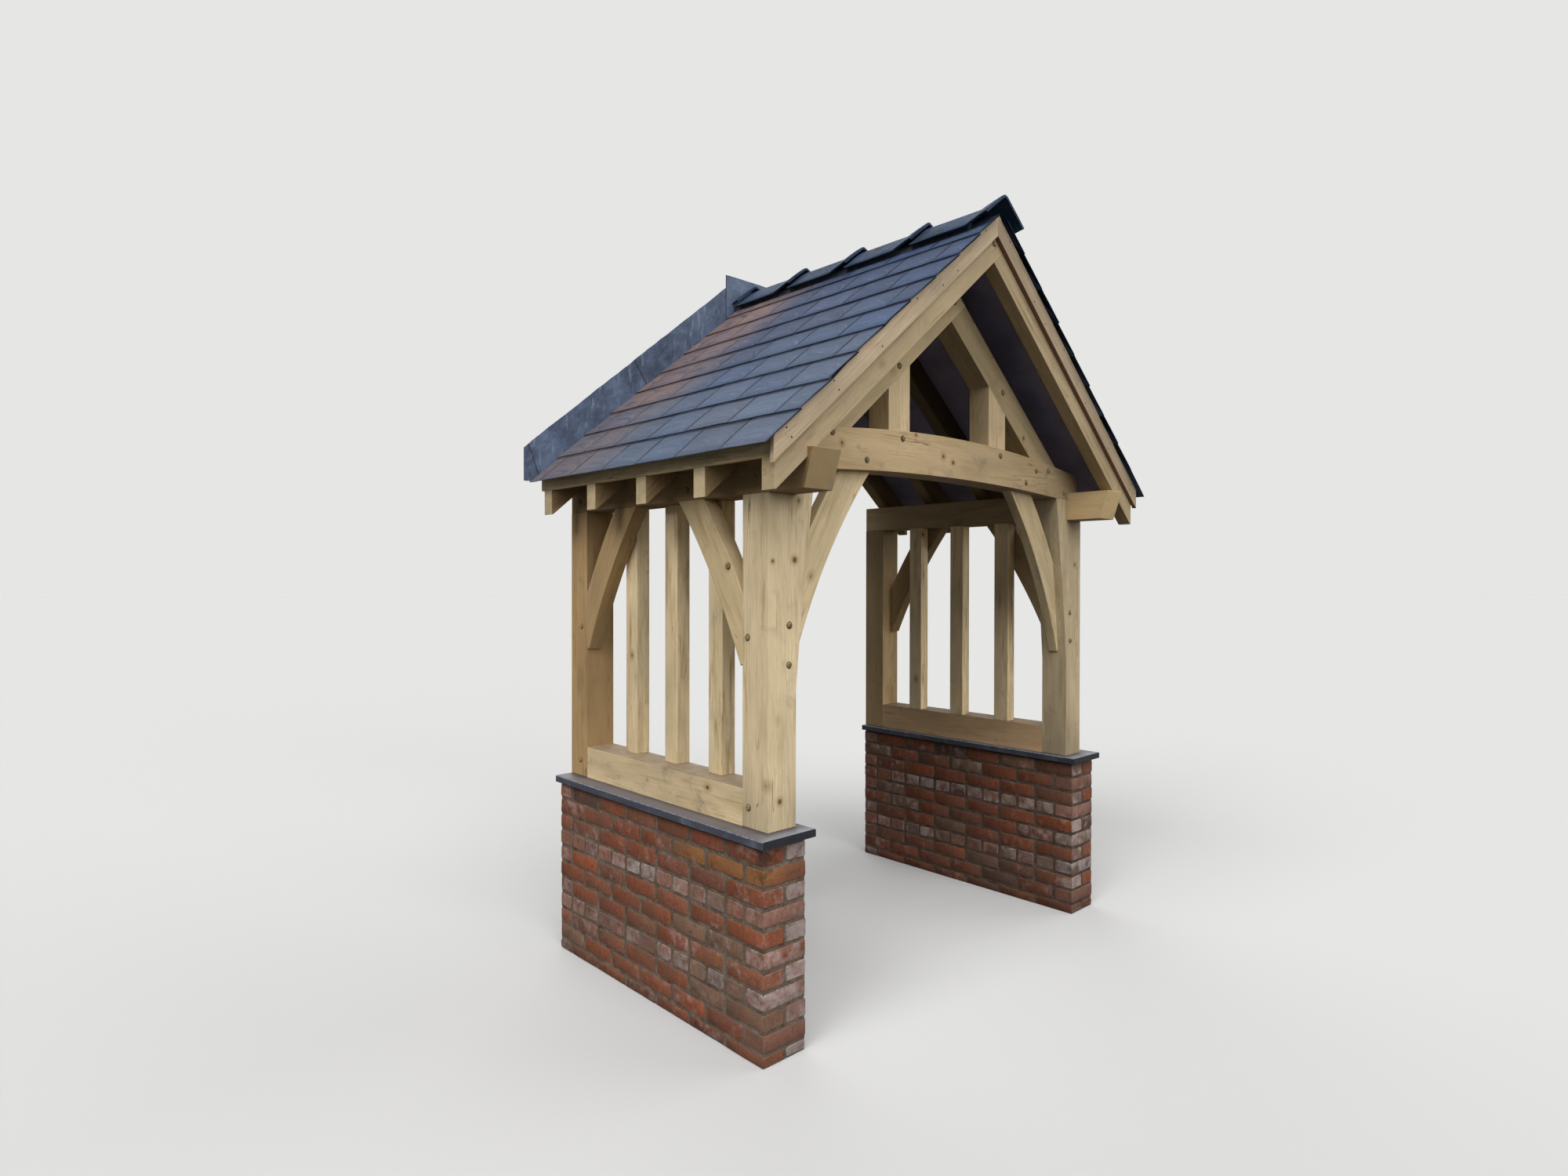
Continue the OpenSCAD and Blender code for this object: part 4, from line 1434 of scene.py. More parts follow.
    def verge_strip(self, oak: Material) -> None:
        """Makes the thin oak strip on the bargeboard that carries the verge slates.

        Its section is a rectangle as wide as the board and 7 mm high. It is carried down the
        slope in 60 steps, and a ripple of 200 mm waves takes the truth off its top.

        Args:
            oak: Finish of the strip.
        """
        low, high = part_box(f"barge_board_{self.side.word}")
        s = np.linspace(0.004, max(abs(low.x), abs(high.x)) / math.cos(PITCH) - 0.006, 60)
        front, rise = low.y + 0.0004, 0.007
        back = np.array([front, high.y, high.y, front])
        up = np.array([0.0, 0.0, rise, rise])
        points = self.on_slope(*np.broadcast_arrays(s[:, None], up, back))
        points[..., 2] += (up > 0) * 0.0005 * ripple(points, 0.2, 8)
        Shell.from_rings(points[None]).piece(f"verge_strip_{self.side.word}", oak, "oak")

    def build(self) -> None:
        """Makes the slates in place of their node."""
        shell = self.slates().joined(self.under_eaves())
        piece = shell.piece(f"laid_slates_{self.side.word}", self.finish, "roof_slate", 30.0)
        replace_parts(piece, f"slates_{self.side.word}")


# Oak frame.


def edge_worn(node: str, width: float, segments: int = 2) -> None:
    """Takes the sharp arrises off a node with live modifiers, and leaves its mesh alone.

    Args:
        node: The node's name.
        width: Width of the bevel in metres.
        segments: Faces across it.
    """
    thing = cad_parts[node]
    weld = thing.modifiers.new("weld", "WELD")
    weld.merge_threshold = 0.00005
    bevel = thing.modifiers.new("arris", "BEVEL")
    bevel.width, bevel.segments = width, segments
    bevel.limit_method, bevel.angle_limit = "ANGLE", math.radians(30)
    bevel.use_clamp_overlap, bevel.harden_normals = True, False
    even = thing.modifiers.new("normals", "WEIGHTED_NORMAL")
    even.keep_sharp = False


def dress(node: str, finish: Material) -> None:
    """Gives a node its finish in every slot.

    Args:
        node: The node's name.
        finish: Its material.
    """
    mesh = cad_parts[node].data
    if not mesh.materials:
        mesh.materials.append(finish)
    for place in range(len(mesh.materials)):
        mesh.materials[place] = finish
    LOG.info("%s: dressed as %s", node, finish.name)


@dataclass(frozen=True)
class Timber:
    """One kind of member: its nodes' stem, its grain, and where its pith lies.

    The pith is given from the middle of the node's box, as metres across, back and up. The
    looks are those of both sides, and the right side has more of its own, mostly painted light
    and shade.
    """

    stem: str
    run: Union[Run, Tuple[Run, Run]]
    pith: Triple
    paired: bool = True
    repeat: float = 0.0
    row_start: float = 0.0
    arris: float = 0.0028
    looks: Dict[str, Any] = field(default_factory=dict)
    # Looks of the right side's member, mostly painted light and shade.
    right: Dict[str, Any] = field(default_factory=dict)


@dataclass
class OakFrame:
    """The pegged oak frame and its boards: every member keeps its node, in its own oak."""

    members: Tuple[Timber, ...] = (
        # The tie beam is painted lighter at its left end and darker at its right, as light and shade.
        Timber("tie_beam", Run.ACROSS, (0.0, 0.07, -0.16), False, looks=dict(
            pale="b79f7b", stained=0.8, ring_width=0.0062, fade=(0, -0.95, 0.95, 1.24, 0.72),
            knots_at=((-0.085, POST_FACE, 2.327, 0.014), (-0.013, POST_FACE, 2.306, 0.012),
                      (-0.282, POST_FACE, 2.402, 0.010), (-0.749, POST_FACE, 2.317, 0.012)))),
        # On the right the sill rail is painted darker and browner, as shade.
        Timber("sill_rail", Run.BACK, (0.05, 0.0, -0.17),
               looks=dict(pale="cdb894", stained=0.75, ring_width=0.006, dusty=0.8),
               right=dict(pale="c9a882", ring="b39065", streak="957044", tone=0.70)),
        # The right front post is painted darker, as shade; the fade darkens each post's foot, as grime.
        Timber("front_post", Run.UP, (0.05, 0.09, 0.0), right=dict(tone=0.64), looks=dict(
            pale="d8c49f", ring="bba379", fade=(2, 0.84, 1.1, 0.72, 1.0),
            knots_at=((-1.009, POST_FACE, 1.846, 0.013), (-1.121, POST_FACE, 1.840, 0.009),
                      (-1.084, POST_FACE, 0.943, 0.012), (1.085, POST_FACE, 1.857, 0.012)))),
        # On the right the rear post is painted darker, and darker still near its top, as shade; its
        # faces to the front are painted much lighter, as light.
        Timber("rear_post", Run.UP, (0.04, -0.06, 0.0), looks=dict(pale="aa8c62", ring="8c6d44"),
               right=dict(pale="a8926c", front=1.95, tone=0.78, fade=(2, 1.7, 2.1, 1.0, 0.62))),
        # The studs are painted lighter towards their tops, as light; on the right they are painted a
        # little darker, with their faces to the front painted lighter.
        Timber("studs", Run.UP, (0.03, 0.0, 0.0), True, 0.307, 0.2945, looks=dict(
            pale="d8c39c", ring="b39a70", streaked=0.8, streak="8f6e42",
            fade=(2, 1.5, 2.05, 1.0, 1.35)), right=dict(tone=0.92, front=1.42)),
        # On the right the eaves plate is painted lighter, most at its front end, as light.
        Timber("eaves_plate", Run.BACK, (0.04, 0.0, 0.09),
               looks=dict(pale="9a8059", ring="7a6040", streaked=0.8, stained=0.7, cut_end="a08a64"),
               right=dict(pale="9c8864", tone=1.15, fade=(1, -0.62, -0.5, 1.45, 1.0))),
        # On the right this brace is painted darker, as shade.
        Timber("side_brace_front", Run.FRONT_BRACE, (0.06, 0.05, 0.02),
               looks=dict(pale="cab48c", knots_at=((-SIDE_FACE, -0.346, 1.821, 0.012),)),
               right=dict(tone=0.85)),
        # On the right this brace is painted darker, as shade.
        Timber("side_brace_rear", Run.REAR_BRACE, (0.05, -0.06, 0.03),
               looks=dict(pale="b0946a", ring="8e7048"), right=dict(tone=0.85)),
        # On the right this brace is painted darker, as shade.
        Timber("knee_brace", (Run.LEFT_KNEE, Run.RIGHT_KNEE), (0.05, 0.05, 0.04),
               looks=dict(pale="dac59d", knots_at=((-0.931, POST_FACE, 1.889, 0.013),)),
               right=dict(tone=0.82)),
        # The principal rafters are painted paler, as light in the bargeboards' shadow; on the right they
        # are painted darker, as shade.
        Timber("principal_rafter", SLOPES, (0.0, 0.06, 0.14),
               looks=dict(pale="cab48c", knots_at=((0.607, TRUSS_FACE, 2.489, 0.011),)),
               right=dict(tone=0.68)),
        # The queen struts are painted paler, as light in the shade of the roof.
        Timber("queen_strut", Run.UP, (0.06, 0.08, 0.0), looks=dict(pale="ddc59c")),
        # The rafters' long faces are painted darker, darker still up the slope, as the shade under the
        # roof; their sawn feet are painted pale, as lit.
        Timber("rafters", SLOPES, (0.0, 0.0, 0.1), True, 0.38525, 0.5985,
               looks=dict(pale="9c8560", ring="7f6644", cut_end="d8c49c", end_from=0.6,
                          fade=(2, 2.32, 2.5, 1.0, 0.5))),
        # On the right the barge rafter is painted darker, as shade.
        Timber("barge_rafter", SLOPES, (0.0, 0.05, -0.12),
               looks=dict(pale="b09c7b", streaked=0.95, streak="866a40", ring_width=0.006),
               right=dict(tone=0.84)),
        # On the right the bargeboard is painted darker, as shade.
        Timber("barge_board", SLOPES, (0.0, 0.12, 0.05), arris=0.0015,
               looks=dict(pale="bba78a", ring="a48c70", stained=0.4, streaked=0.4, edge_line=2.5070),
               right=dict(tone=0.75)),
        # The eaves board is painted paler, as light in the shadow of the slates.
        Timber("eaves_board", Run.BACK, (0.12, 0.0, 0.03), arris=0.0015,
               looks=dict(pale="e6d0a4", ring="c4aa7c")),
        Timber("battens", Run.BACK, (0.3, 0.0, 0.2), arris=0.001,
               looks=dict(pale="a98f62", ring="8a6a3e", stained=0.1)),
    )
    # Painted shade: how much darker each member on the right is, unless its own looks say otherwise.
    right_tone: float = 0.8

    def oak(self, node: str, timber: Timber, side: Side, count: int) -> GreenOak:
        """The oak of one member.

        Args:
            node: The node's name.
            timber: Its kind.
            side: Its side.
            count: The kind's place in the list, which moves the pattern.

        Returns:
            The oak.
        """
        low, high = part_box(node)
        shift = Vector(timber.pith)
        if timber.paired:
            shift.x *= -side.value
        run, looks = timber.run, timber.looks
        if isinstance(run, tuple):
            run = side.own(run)
        # The right side's members are painted darker, as shade.
        if side is Side.RIGHT:
            looks = {"tone": self.right_tone, **looks, **timber.right}
        return GreenOak(f"oak_{node}", run.value, tuple((low + high) / 2 + shift),
                        seed=3.7 * count + 1.9 * side.value, repeat=timber.repeat,
                        row_start=timber.row_start, **looks)

    def build(self) -> None:
        """Dresses each member and takes its arrises off."""
        for count, timber in enumerate(self.members):
            for side in Side if timber.paired else (Side.LEFT,):
                node = f"{timber.stem}_{side.word}" if timber.paired else timber.stem
                dress(node, self.oak(node, timber, side, count).make())
                edge_worn(node, timber.arris)


class Face(Enum):
    """The side of a timber that a peg shows on, as the way its head points."""

    FRONT = (0.0, -1.0, 0.0)
    LEFT = (-1.0, 0.0, 0.0)
    RIGHT = (1.0, 0.0, 0.0)


@dataclass
class Fixings:
    """Riven oak pegs in the joints, each ringed by stain and painted shadow, and the boards' nails.

    The pegs' places are x and z on a front face, and y from the back plane and z on a side one.
    The nails are rows: their distance below the board's top, and places down the slope.
    """

    radius: float = 0.0112
    proud: float = 0.0065
    board_face: float = -0.8075
    barge_face: float = -0.7875
    back_plane: float = 0.8455
    board_top: float = 3.3606
    tie_pegs: Pairs = (
        (-0.370, 2.375), (0.370, 2.375), (-0.600, 2.263), (0.600, 2.263), (-0.968, 2.236),
        (0.968, 2.236), (-0.804, 2.353), (0.809, 2.339), (0.695, 2.329), (-1.036, 1.600),
        (-1.038, 1.450), (1.036, 1.600), (1.038, 1.450))
    truss_pegs: Pairs = ((-0.370, 2.690), (0.418, 2.690), (0.024, 3.049))
    barge_pegs: Pairs = ((-0.001, 3.245),)
    side_pegs: Pairs = (
        (-1.311, 1.553), (-1.317, 0.911), (-0.096, 1.549), (-0.085, 0.909), (-0.932, 2.136),
        (-0.078, 2.143), (-1.350, 2.150), (-1.196, 1.824))
    nails: Tuple[Tuple[float, Tuple[float, ...]], ...] = (
        (0.062, (0.384, 0.513, 1.005, 1.315, 1.620)), (0.012, (0.120, 0.732, 1.348, 1.651)))
    nail_radius: float = 0.0042

    def places(self) -> Tuple[np.ndarray, np.ndarray]:
        """Where the pegs meet the timber, and which way their heads point.

        Returns:
            Points and directions, each as (pegs, 3).
        """
        spots = [((x, face, z), Face.FRONT.value)
                 for face, pegs in ((POST_FACE, self.tie_pegs), (TRUSS_FACE, self.truss_pegs),
                                    (self.barge_face, self.barge_pegs))
                 for x, z in pegs]
        spots += [((face.value[0] * SIDE_FACE, self.back_plane + y, z), face.value)
                  for face in (Face.LEFT, Face.RIGHT) for y, z in self.side_pegs]
        return np.array([s[0] for s in spots]), np.array([s[1] for s in spots])

    def nail_places(self) -> np.ndarray:
        """Where the nails meet the boards: rows at a distance below the top, along each slope.

        Returns:
            Points as (nails, 3).
        """
        return np.array([(sign * s * math.cos(PITCH), self.board_face,
                          self.board_top - SLOPE * s * math.cos(PITCH) - down)
                         for sign in (-1.0, 1.0) for down, row in self.nails for s in row])

    @staticmethod
    def pins(spots: np.ndarray, ways: np.ndarray, steps: Sequence[Tuple[float, float]],
             around: int, radius: np.ndarray, lean: float, seed: int) -> Shell:
        """Round pins with a given outline, each cut to a few riven facets.

        A pin is rings of points round its own axis: for each step, the first number is the
        distance out from the timber and the second the share of the radius. The facets' radii
        vary by up to a tenth, and the axis leans by a few degrees at most.

        Args:
            spots: Where the pins meet the timber.
            ways: Directions of their heads.
            steps: Distance out and share of the radius of each ring.
            around: Facets.
            radius: Radius of each pin.
            lean: Largest slope of the axis.
            seed: Number that fixes the chances.

        Returns:
            The pins.
        """
        rng = np.random.default_rng(seed)
        up = np.array([0.0, 0.0, 1.0])
        across = np.cross(ways, up)
        turn = np.linspace(0, 2 * math.pi, around, endpoint=False)
        angle = turn[None, :] + rng.uniform(0, 2 * math.pi, (len(spots), 1))
        size = radius[:, None] * rng.uniform(0.9, 1.05, (len(spots), around))
        flat = np.cos(angle)[..., None] * across[:, None] + np.sin(angle)[..., None] * up
        out = np.array([s[0] for s in steps])
        share = np.array([s[1] for s in steps])
        slant = rng.uniform(-lean, lean, (len(spots), 2))
        axis = ways + slant[:, :1] * across + slant[:, 1:] * up
        rings = spots[:, None, None] + axis[:, None, None] * out[None, :, None, None]
        rings = rings + (flat * size[..., None])[:, None] * share[None, :, None, None]
        head = (out > 0.004)[None, :, None, None]
        tip = 0.0016 * np.sin(angle + slant[:, :1] * 20)[:, None, :, None]
        return Shell.from_rings(rings + head * tip * axis[:, None, None])

    def build(self, oak: Material, dark: Material, steel: Material) -> None:
        """Makes the pegs, the rings of stain and painted shadow round them, and the nails.

        Args:
            oak: Finish of the pegs.
            dark: Finish of the rings, a tannin stain and a painted shadow of the hole's gap.
            steel: Finish of the nails.
        """
        spots, ways = self.places()
        size = np.random.default_rng(5).uniform(0.92, 1.08, len(spots)) * self.radius
        steps = ((-0.012, 1.0), (0.0, 1.0), (self.proud * 0.7, 0.93), (self.proud, 0.7))
        self.pins(spots, ways, steps, 9, size, 0.09, 21).piece("oak_pegs", oak, "oak", 25.0)
        # The ring round each peg: a tannin stain and a painted shadow of the hole's gap.
        rim = ((-0.004, 1.0), (0.0004, 1.0), (0.0006, 0.9))
        self.pins(spots, ways, rim, 14, size * 1.28, 0.0, 22).piece("peg_stain_and_painted_shadow_rings", dark, "oak")
        spots = self.nail_places()
        ways = np.tile(np.array(Face.FRONT.value), (len(spots), 1))
        size = np.full(len(spots), self.nail_radius)
        heads = ((-0.004, 1.0), (0.0003, 1.0), (0.0007, 0.75))
        self.pins(spots, ways, heads, 10, size, 0.03, 23).piece("board_nails", steel, "oak")


# Ridge and lead.


@dataclass
class RidgeRun:
    """The hooded ridge tiles, each lapping the one in front of it."""

    finish: Material
    tiles: int = 5
    pitch: float = 0.409
    hood: float = 0.115
    lap: float = 0.012
    rise: float = 0.029
    flare: float = 0.05
    thick: float = 0.014
    half: float = 0.140
    crest: float = 3.4275
    round_off: float = 0.016

    def profile(self) -> np.ndarray:
        """Section of a tile about its crest, as x and z.

        Each wing falls straight at the pitch; over the crest the fall is that of a hyperbola,
        so that the arris is rounded. The inner line lies one thickness below, square to the
        wing, and the feet are eased.

        Returns:
            Points round the section.
        """
        outer = np.array([-1.0, -0.985, -0.8, -0.55, -0.3, -0.14, -0.06, 0.0,
                          0.06, 0.14, 0.3, 0.55, 0.8, 0.985, 1.0]) * self.half
        soft = np.sqrt(outer ** 2 + self.round_off ** 2)
        top = -SLOPE * soft
        top[[0, -1]] -= 0.004
        inner = outer[1:-1][::-1] * (1 - self.thick * math.sin(PITCH) / self.half)
        under = -SLOPE * np.sqrt(inner ** 2 + (0.5 * self.round_off) ** 2)
        under = under - self.thick / math.cos(PITCH) * 0.93
        return np.concatenate([np.stack([outer, top], -1), np.stack([inner, under], -1)])

    def shell(self) -> Shell:
        """All the tiles.

        The section is carried back from the hood's front edge. Over the hood's length it
        sinks by the rise in a gentle S and draws in from its flare, so that the next tile's
        body passes under the hood's lip. Ripples of 120 mm and 50 mm waves keep the clay from
        being true.

        Returns:
            The tiles.
        """
        low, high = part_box("ridge_tiles")
        start = low.y + self.pitch * np.arange(self.tiles)
        end = np.minimum(start + self.pitch + self.lap, high.y)
        share = np.array([0.0, 0.03, 0.14, 0.4, 0.7, 0.9, 1.0])
        body = np.array([0.12, 0.35, 0.6, 0.85, 0.99, 1.0])
        section = self.profile()
        rings: List[np.ndarray] = []
        for first, last in zip(start, end):
            straight = first + self.hood + body * max(last - first - self.hood, 0.001)
            y = np.minimum(np.concatenate([first + share * self.hood, straight]), last)
            t = np.clip((y - first) / self.hood, 0, 1)
            lift = self.rise * (1 - t) * (1 + 0.35 * t)
            lift = np.where(t < 0.02, lift - 0.0015, lift)
            ring = np.zeros((len(y), len(section), 3))
            ring[..., 0] = section[None, :, 0] * (1 + self.flare * (1 - t) ** 2)[:, None]
            ring[..., 1] = y[:, None]
            ring[..., 2] = self.crest + section[None, :, 1] + lift[:, None]
            rings.append(ring)
        tiles = np.array(rings)
        spot = tiles + np.arange(self.tiles)[:, None, None, None] * 3.1
        tiles[..., 2] += 0.0009 * (ripple(spot, 0.12, 31) - 1.0)
        tiles[..., 1] = np.clip(tiles[..., 1] + 0.0011 * ripple(spot, 0.05, 32), low.y, high.y)
        return Shell.from_rings(tiles)

    def build(self) -> None:
        """Makes the tiles in place of their node."""
        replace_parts(self.shell().piece("hooded_ridge", self.finish, "ridge_tile", 38.0), "ridge_tiles")


@dataclass
class LeadWork:
    """Lead dressed up the back plane over each slope, and a saddle piece over the ridge."""

    finish: Material
    thick: float = 0.0018
    laps: Pairs = ((1.3940, 1.3940), (1.318, 1.375), (0.705, 0.790))
    lap_over: float = 0.05
    saddle_thick: float = 0.0026
    step_out: float = 0.0009
    upstand: float = 0.2006
    foot_cut: float = 2.234
    head_cut: float = 3.4770

    def sheet(self, outer: Sequence[float], inner: Sequence[float], low: float, high: float,
              layer: int, sign: float) -> Shell:
        """One sheet between two edges, each given by its x at the foot and at the head.

        The point at shares u along and w up lies between the edges, with its height between
        two lines that fall at the pitch, cut off level at the foot and at the head. The front
        is dressed: a ripple of 70 mm waves moves it by about a millimetre at most, and the head
        edge wanders by a few. Dirt lies along the edges, and the foot of the outer sheet is pale.

        Args:
            outer: The outer edge's x at the foot and the head.
            inner: The inner edge's.
            low: Height of the foot line over the centre.
            high: Height of the head line over the centre.
            layer: How many sheets lie behind this one.
            sign: -1 on the left, 1 on the right.

        Returns:
            The sheet.
        """
        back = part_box("flashing_left")[1].y
        u, w = self.grid(56, 16)
        start, end = (edge[0] + (edge[1] - edge[0]) * w for edge in (outer, inner))
        x = start * (1 - u) + end * u
        foot = np.maximum(low - SLOPE * x, self.foot_cut)
        z = foot + (np.minimum(high - SLOPE * x, self.head_cut) - foot) * w
        front = np.stack([sign * x, np.zeros_like(x), z], -1)
        near_head = np.clip((w - 0.93) / 0.07, 0, 1)
        front[..., 2] -= 0.0016 * near_head * (1 + ripple(front, 0.11, 44))
        rear = front.copy()
        rear[..., 1] = back - self.step_out * layer
        bulge = 0.0005 * (1 + ripple(front, 0.07, 45)) * np.sin(math.pi * np.clip(w, 0.02, 0.98))
        front[..., 1] = back - self.step_out * layer - self.thick - bulge
        tint = self.dirt(u, w)
        if layer == 0:
            pale = np.clip(1 - u / 0.4, 0, 1) * np.clip(1 - w / 0.6, 0, 1)
            tint[..., :3] *= (1 + 0.5 * pale)[..., None]
        return Shell.from_sheet(front, rear, tint)

    @staticmethod
    def grid(across: int, up: int) -> Tuple[np.ndarray, np.ndarray]:
        """Shares along and up a sheet, with close rows beside its edges.

        Args:
            across: Points along it, without the close ones.
            up: Points up it.

        Returns:
            Both shares, each as (across + 6, up).
        """
        inner = np.linspace(0.03, 0.97, across)
        close = np.array([0.0, 0.004, 0.012])
        u = np.concatenate([close, inner, 1 - close[::-1]])
        return np.meshgrid(u, np.linspace(0, 1, up), indexing="ij")

    @staticmethod
    def dirt(u: np.ndarray, w: np.ndarray) -> np.ndarray:
        """Plain white, with a dark line along the outer and the inner edge in alpha."""
        line = np.clip(1.6 - np.minimum(u, 1 - u) / 0.006, 0, 1) * 0.9
        return np.stack([np.ones_like(u)] * 3 + [line * np.clip(w * 20, 0, 1)], -1)

    def flashing(self, side: Side) -> Shell:
        """The sheets of one slope, each lapping the one below it.

        Args:
            side: The slope's side.

        Returns:
            The sheets.
        """
        low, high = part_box(f"flashing_{side.word}")
        start = min(abs(low.x), abs(high.x))
        line = high.z + SLOPE * start
        sheets: List[Shell] = []
        for layer, outer in enumerate(self.laps):
            inner = (start, start)
            if layer + 1 < len(self.laps):
                inner = tuple(x - self.lap_over for x in self.laps[layer + 1])
            sheets.append(self.sheet(outer, inner, line - self.upstand, line, layer, side.value))
        return reduce(Shell.joined, sheets)

    def saddle(self) -> Shell:
        """The piece over the ridge: level at its head, and cut to both slopes at its foot.

        The point at shares u along and w up lies between the foot, which falls at the pitch on
        both sides, and the level head. A ripple of 80 mm waves dresses its front.

        Returns:
            The piece.
        """
        low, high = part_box("ridge_saddle")
        u, w = self.grid(44, 18)
        x = (2 * u - 1) * high.x
        peak = low.z + SLOPE * high.x
        foot = peak - SLOPE * np.abs(x)
        z = foot + (high.z - foot) * w
        front = np.stack([x, np.zeros_like(x), z], -1)
        front[..., 2] -= 0.0014 * np.clip((w - 0.95) / 0.05, 0, 1) * (1 + ripple(front, 0.1, 47))
        rear = front.copy()
        rear[..., 1] = high.y
        front[..., 1] = high.y - self.saddle_thick - 0.0006 * (1 + ripple(front, 0.08, 48))
        return Shell.from_sheet(front, rear, self.dirt(u, w))

    def build(self) -> None:
        """Makes the lead in place of its nodes."""
        for side in Side:
            piece = self.flashing(side).piece(f"lead_{side.word}", self.finish, "lead")
            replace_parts(piece, f"flashing_{side.word}")
        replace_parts(self.saddle().piece("lead_saddle", self.finish, "lead"), "ridge_saddle")


# Stage.


@dataclass(frozen=True)
class SoftLamp:
    """A far, wide lamp: the way towards it, its width in degrees and its strength."""

    name: str
    towards: Triple
    width: float
    strength: float


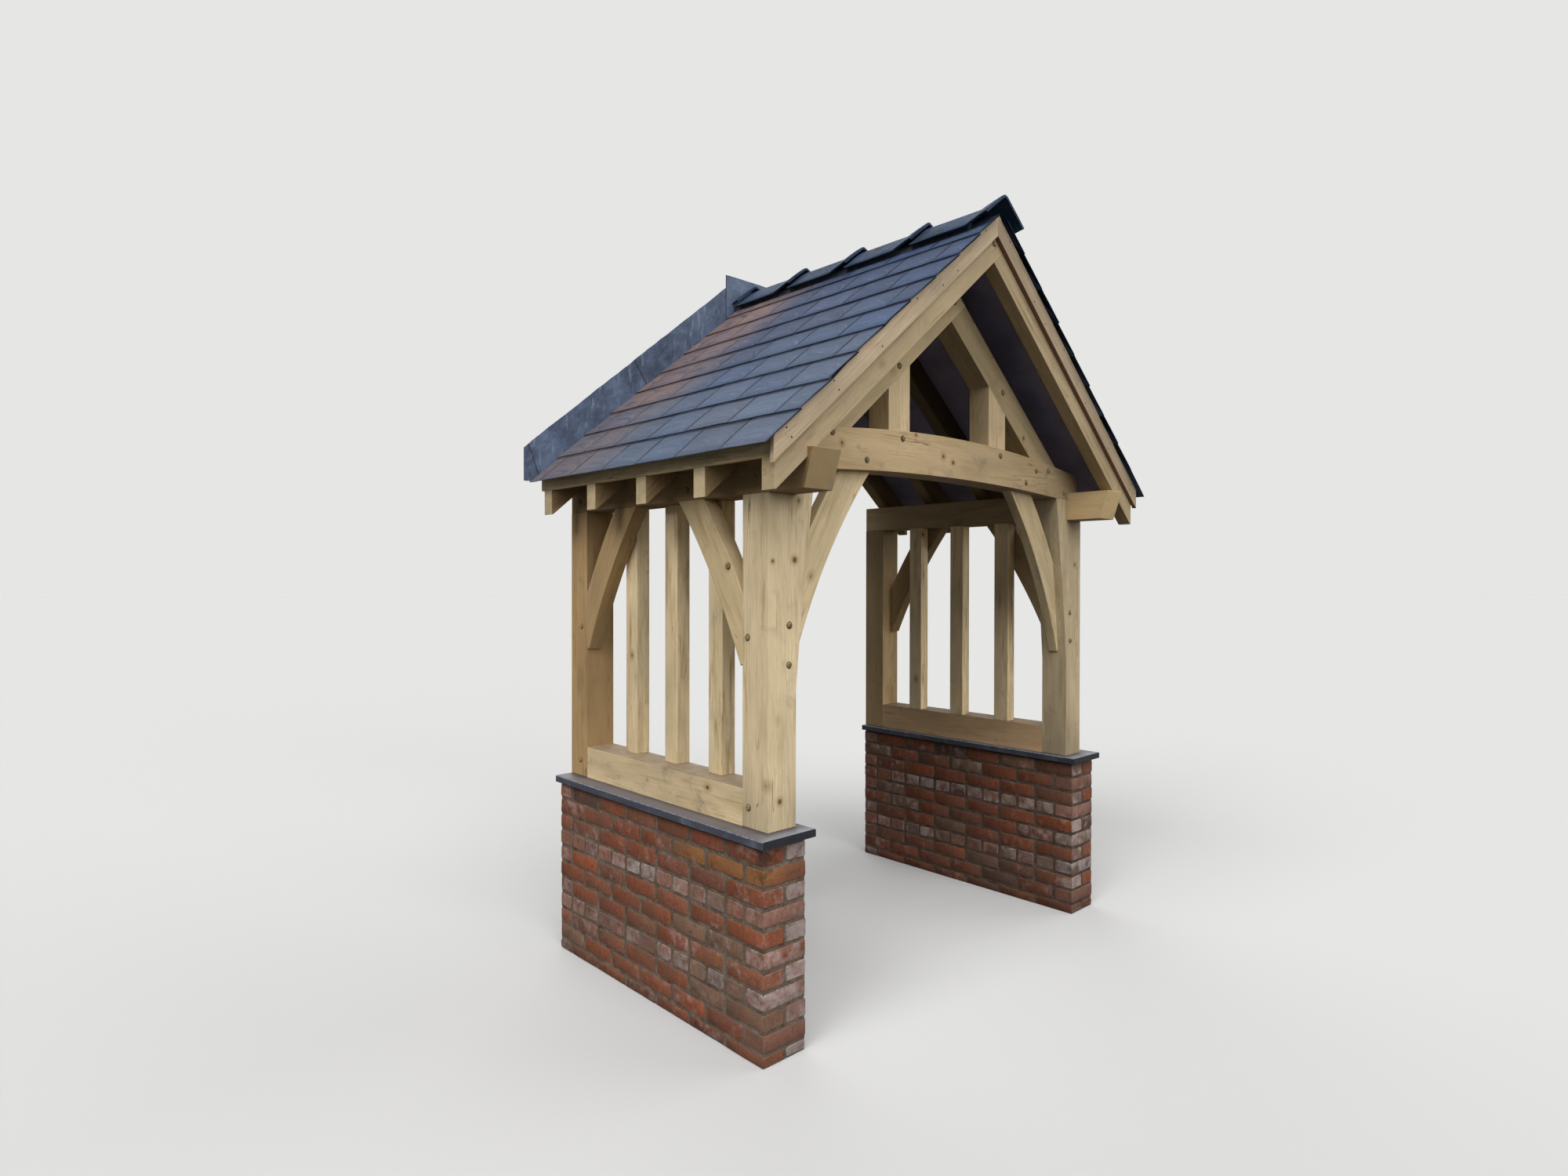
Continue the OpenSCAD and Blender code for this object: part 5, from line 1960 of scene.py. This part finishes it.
@dataclass
class Studio:
    """The camera at the photograph's place, soft lamps, and a pale floor."""

    eye: Triple = (-3.31108, -2.98673, 1.76382)
    yaw: float = 43.0402
    tilt: float = -0.4084
    roll: float = 0.0785
    focal_px: float = 1123.10
    image_w: int = 2000
    sensor: float = 36.0
    pale: str = "e6e6e5"
    bounce: str = "4b4b4a"
    even: float = 0.14
    floor_radius: float = 150.0
    lamps: Tuple[SoftLamp, ...] = (
        SoftLamp("key", (-0.32, -0.60, 0.84), 42.0, 1.50),
        SoftLamp("side", (-0.83, -0.14, 0.70), 34.0, 2.10),
        SoftLamp("front", (-0.10, -0.97, 0.22), 40.0, 1.32),
        SoftLamp("right", (0.80, -0.35, 0.55), 55.0, 0.95),
        SoftLamp("back", (0.35, 0.80, 0.60), 55.0, 1.05),
    )

    def camera(self) -> None:
        """Places the camera.

        The view's axes come from the yaw about z, the tilt and the roll, and the lens from the
        focal length in pixels over the image's width, on a sensor 36 mm wide.
        """
        yaw, tilt, roll = (math.radians(a) for a in (self.yaw, self.tilt, self.roll))
        ahead = Vector((math.sin(yaw) * math.cos(tilt), math.cos(yaw) * math.cos(tilt), math.sin(tilt)))
        level = Vector((math.cos(yaw), -math.sin(yaw), 0.0))
        upright = level.cross(ahead)
        right = level * math.cos(roll) + upright * math.sin(roll)
        above = upright * math.cos(roll) - level * math.sin(roll)
        data = bpy.data.cameras.new("camera")
        data.sensor_fit, data.sensor_width = "HORIZONTAL", self.sensor
        data.lens = self.sensor * self.focal_px / self.image_w
        data.clip_end = 400.0
        camera = linked("camera", data)
        turn = Matrix((right, above, -ahead)).transposed().to_4x4()
        camera.matrix_world = Matrix.Translation(self.eye) @ turn
        bpy.context.scene.camera = camera

    def hang(self, lamp: SoftLamp) -> None:
        """Adds one lamp, turned so that it shines from its place towards the porch.

        Args:
            lamp: The lamp.
        """
        data = bpy.data.lights.new(lamp.name, "SUN")
        data.angle, data.energy = math.radians(lamp.width), lamp.strength
        turn = Vector(lamp.towards).to_track_quat("Z", "Y")
        linked(lamp.name, data).rotation_euler = turn.to_euler()

    def world(self) -> None:
        """Dim even light for the object, and a pale backdrop for the camera and for gloss."""
        sheet = NodeSheet(bpy.data.worlds.new("studio"))
        bpy.context.scene.world = sheet.owner
        path = sheet.add("LightPath").outputs
        seen = sheet.math("MAXIMUM", path["Is Camera Ray"], path["Is Glossy Ray"])
        seen = sheet.math("MAXIMUM", seen, path["Is Transmission Ray"])
        dim, bright = (sheet.add("Background", {0: linear(code), 1: strength}).outputs[0]
                       for code, strength in (("ffffff", self.even), (self.pale, 1.0)))
        mixed = sheet.add("MixShader", {0: seen, 1: dim, 2: bright}).outputs[0]
        sheet.add("OutputWorld", {0: mixed})

    def floor(self) -> None:
        """A round floor that takes the shadow and meets the backdrop without a seam.

        The light on the floor is the even light and each lamp's strength times its height over
        pi. The colour that the camera sees is the backdrop's over that light, so that both
        show alike where nothing shades the floor. The object gets back only the light of a
        darker floor.
        """
        light = self.even + sum(lamp.strength * Vector(lamp.towards).normalized().z
                                for lamp in self.lamps) / math.pi
        shown = (*np.minimum(rgb(self.pale) / light, 0.95), 1.0)
        sheet = NodeSheet.material("studio_floor")
        path = sheet.add("LightPath").outputs["Is Camera Ray"]
        matt = sheet.add("BsdfDiffuse", {"Color": sheet.mix(path, self.bounce, shown)})
        sheet.add("OutputMaterial", {0: matt.outputs[0]})
        turn = np.linspace(0, 2 * math.pi, 96, endpoint=False)
        rim = self.floor_radius * np.stack([np.cos(turn), np.sin(turn), np.zeros(len(turn))], -1)
        mesh = bpy.data.meshes.new("floor")
        mesh.from_pydata(rim.tolist(), [], [list(range(len(turn)))])
        mesh.materials.append(sheet.owner)
        floor = linked("floor", mesh)
        floor.location.z = -0.001

    def build(self) -> None:
        """Sets the camera, the lamps, the world and the floor."""
        self.camera()
        self.world()
        self.floor()
        for lamp in self.lamps:
            self.hang(lamp)
        bpy.context.scene.view_settings.view_transform = "Standard"


# Main.


def main() -> None:
    """Builds the porch's looks in order, each piece reporting itself."""
    logging.basicConfig(level=logging.INFO, format="%(name)s %(message)s")
    Studio().build()
    brick, slate = ReclaimedBrick().make(), WelshSlate().make()
    coping, membrane = CopingSlate().make(), RoofSheet().make()
    mortars = (LimeMortar().make(),
               # The right wall's mortar is painted darker, as shade.
               LimeMortar("lime_mortar_painted_shade", "56463c", "67584c", "3b2f26").make())
    for side in Side:
        DwarfWall(side, brick, side.own(mortars)).build()
        covering = SlateCourses(side, slate)
        covering.build()
        strip_oak = GreenOak(f"verge_oak_{side.word}", side.own(SLOPES).value, (0.0, 0.2, 2.8),
                             pale="c6b192", ring="ae9476").make()
        covering.verge_strip(strip_oak)
        dress(f"coping_{side.word}", coping)
        edge_worn(f"coping_{side.word}", 0.002)
        dress(f"underlay_{side.word}", membrane)
    OakFrame().build()
    peg_oak = GreenOak("peg_oak", Run.BACK.value, (0.3, 0.0, 0.2), pale="8d7a55", ring="7a6541",
                       streak="5d4a2e", ring_width=0.003, cut_end="6f5d3f").make()
    # Finish of the rings round the pegs: a tannin stain and a painted shadow of the hole's gap.
    peg_stain_and_shadow_oak = GreenOak("peg_stain_and_painted_shadow", Run.UP.value, (0.3, 0.2, 0.0), pale="5a4a34", ring="4a3a28",
                        streak="3a2d20").make()
    Fixings().build(peg_oak, peg_stain_and_shadow_oak, CutNail().make())
    RidgeRun(RidgeClay().make()).build()
    # The ridge bedding is grey mortar painted dark, as the shade under the tiles' wings.
    dress("ridge_bedding", LimeMortar("ridge_mortar_painted_shade", "43464b", "585b60", "2c2e33").make())
    LeadWork(SheetLead().make()).build()


if __name__ == "__main__":
    main()
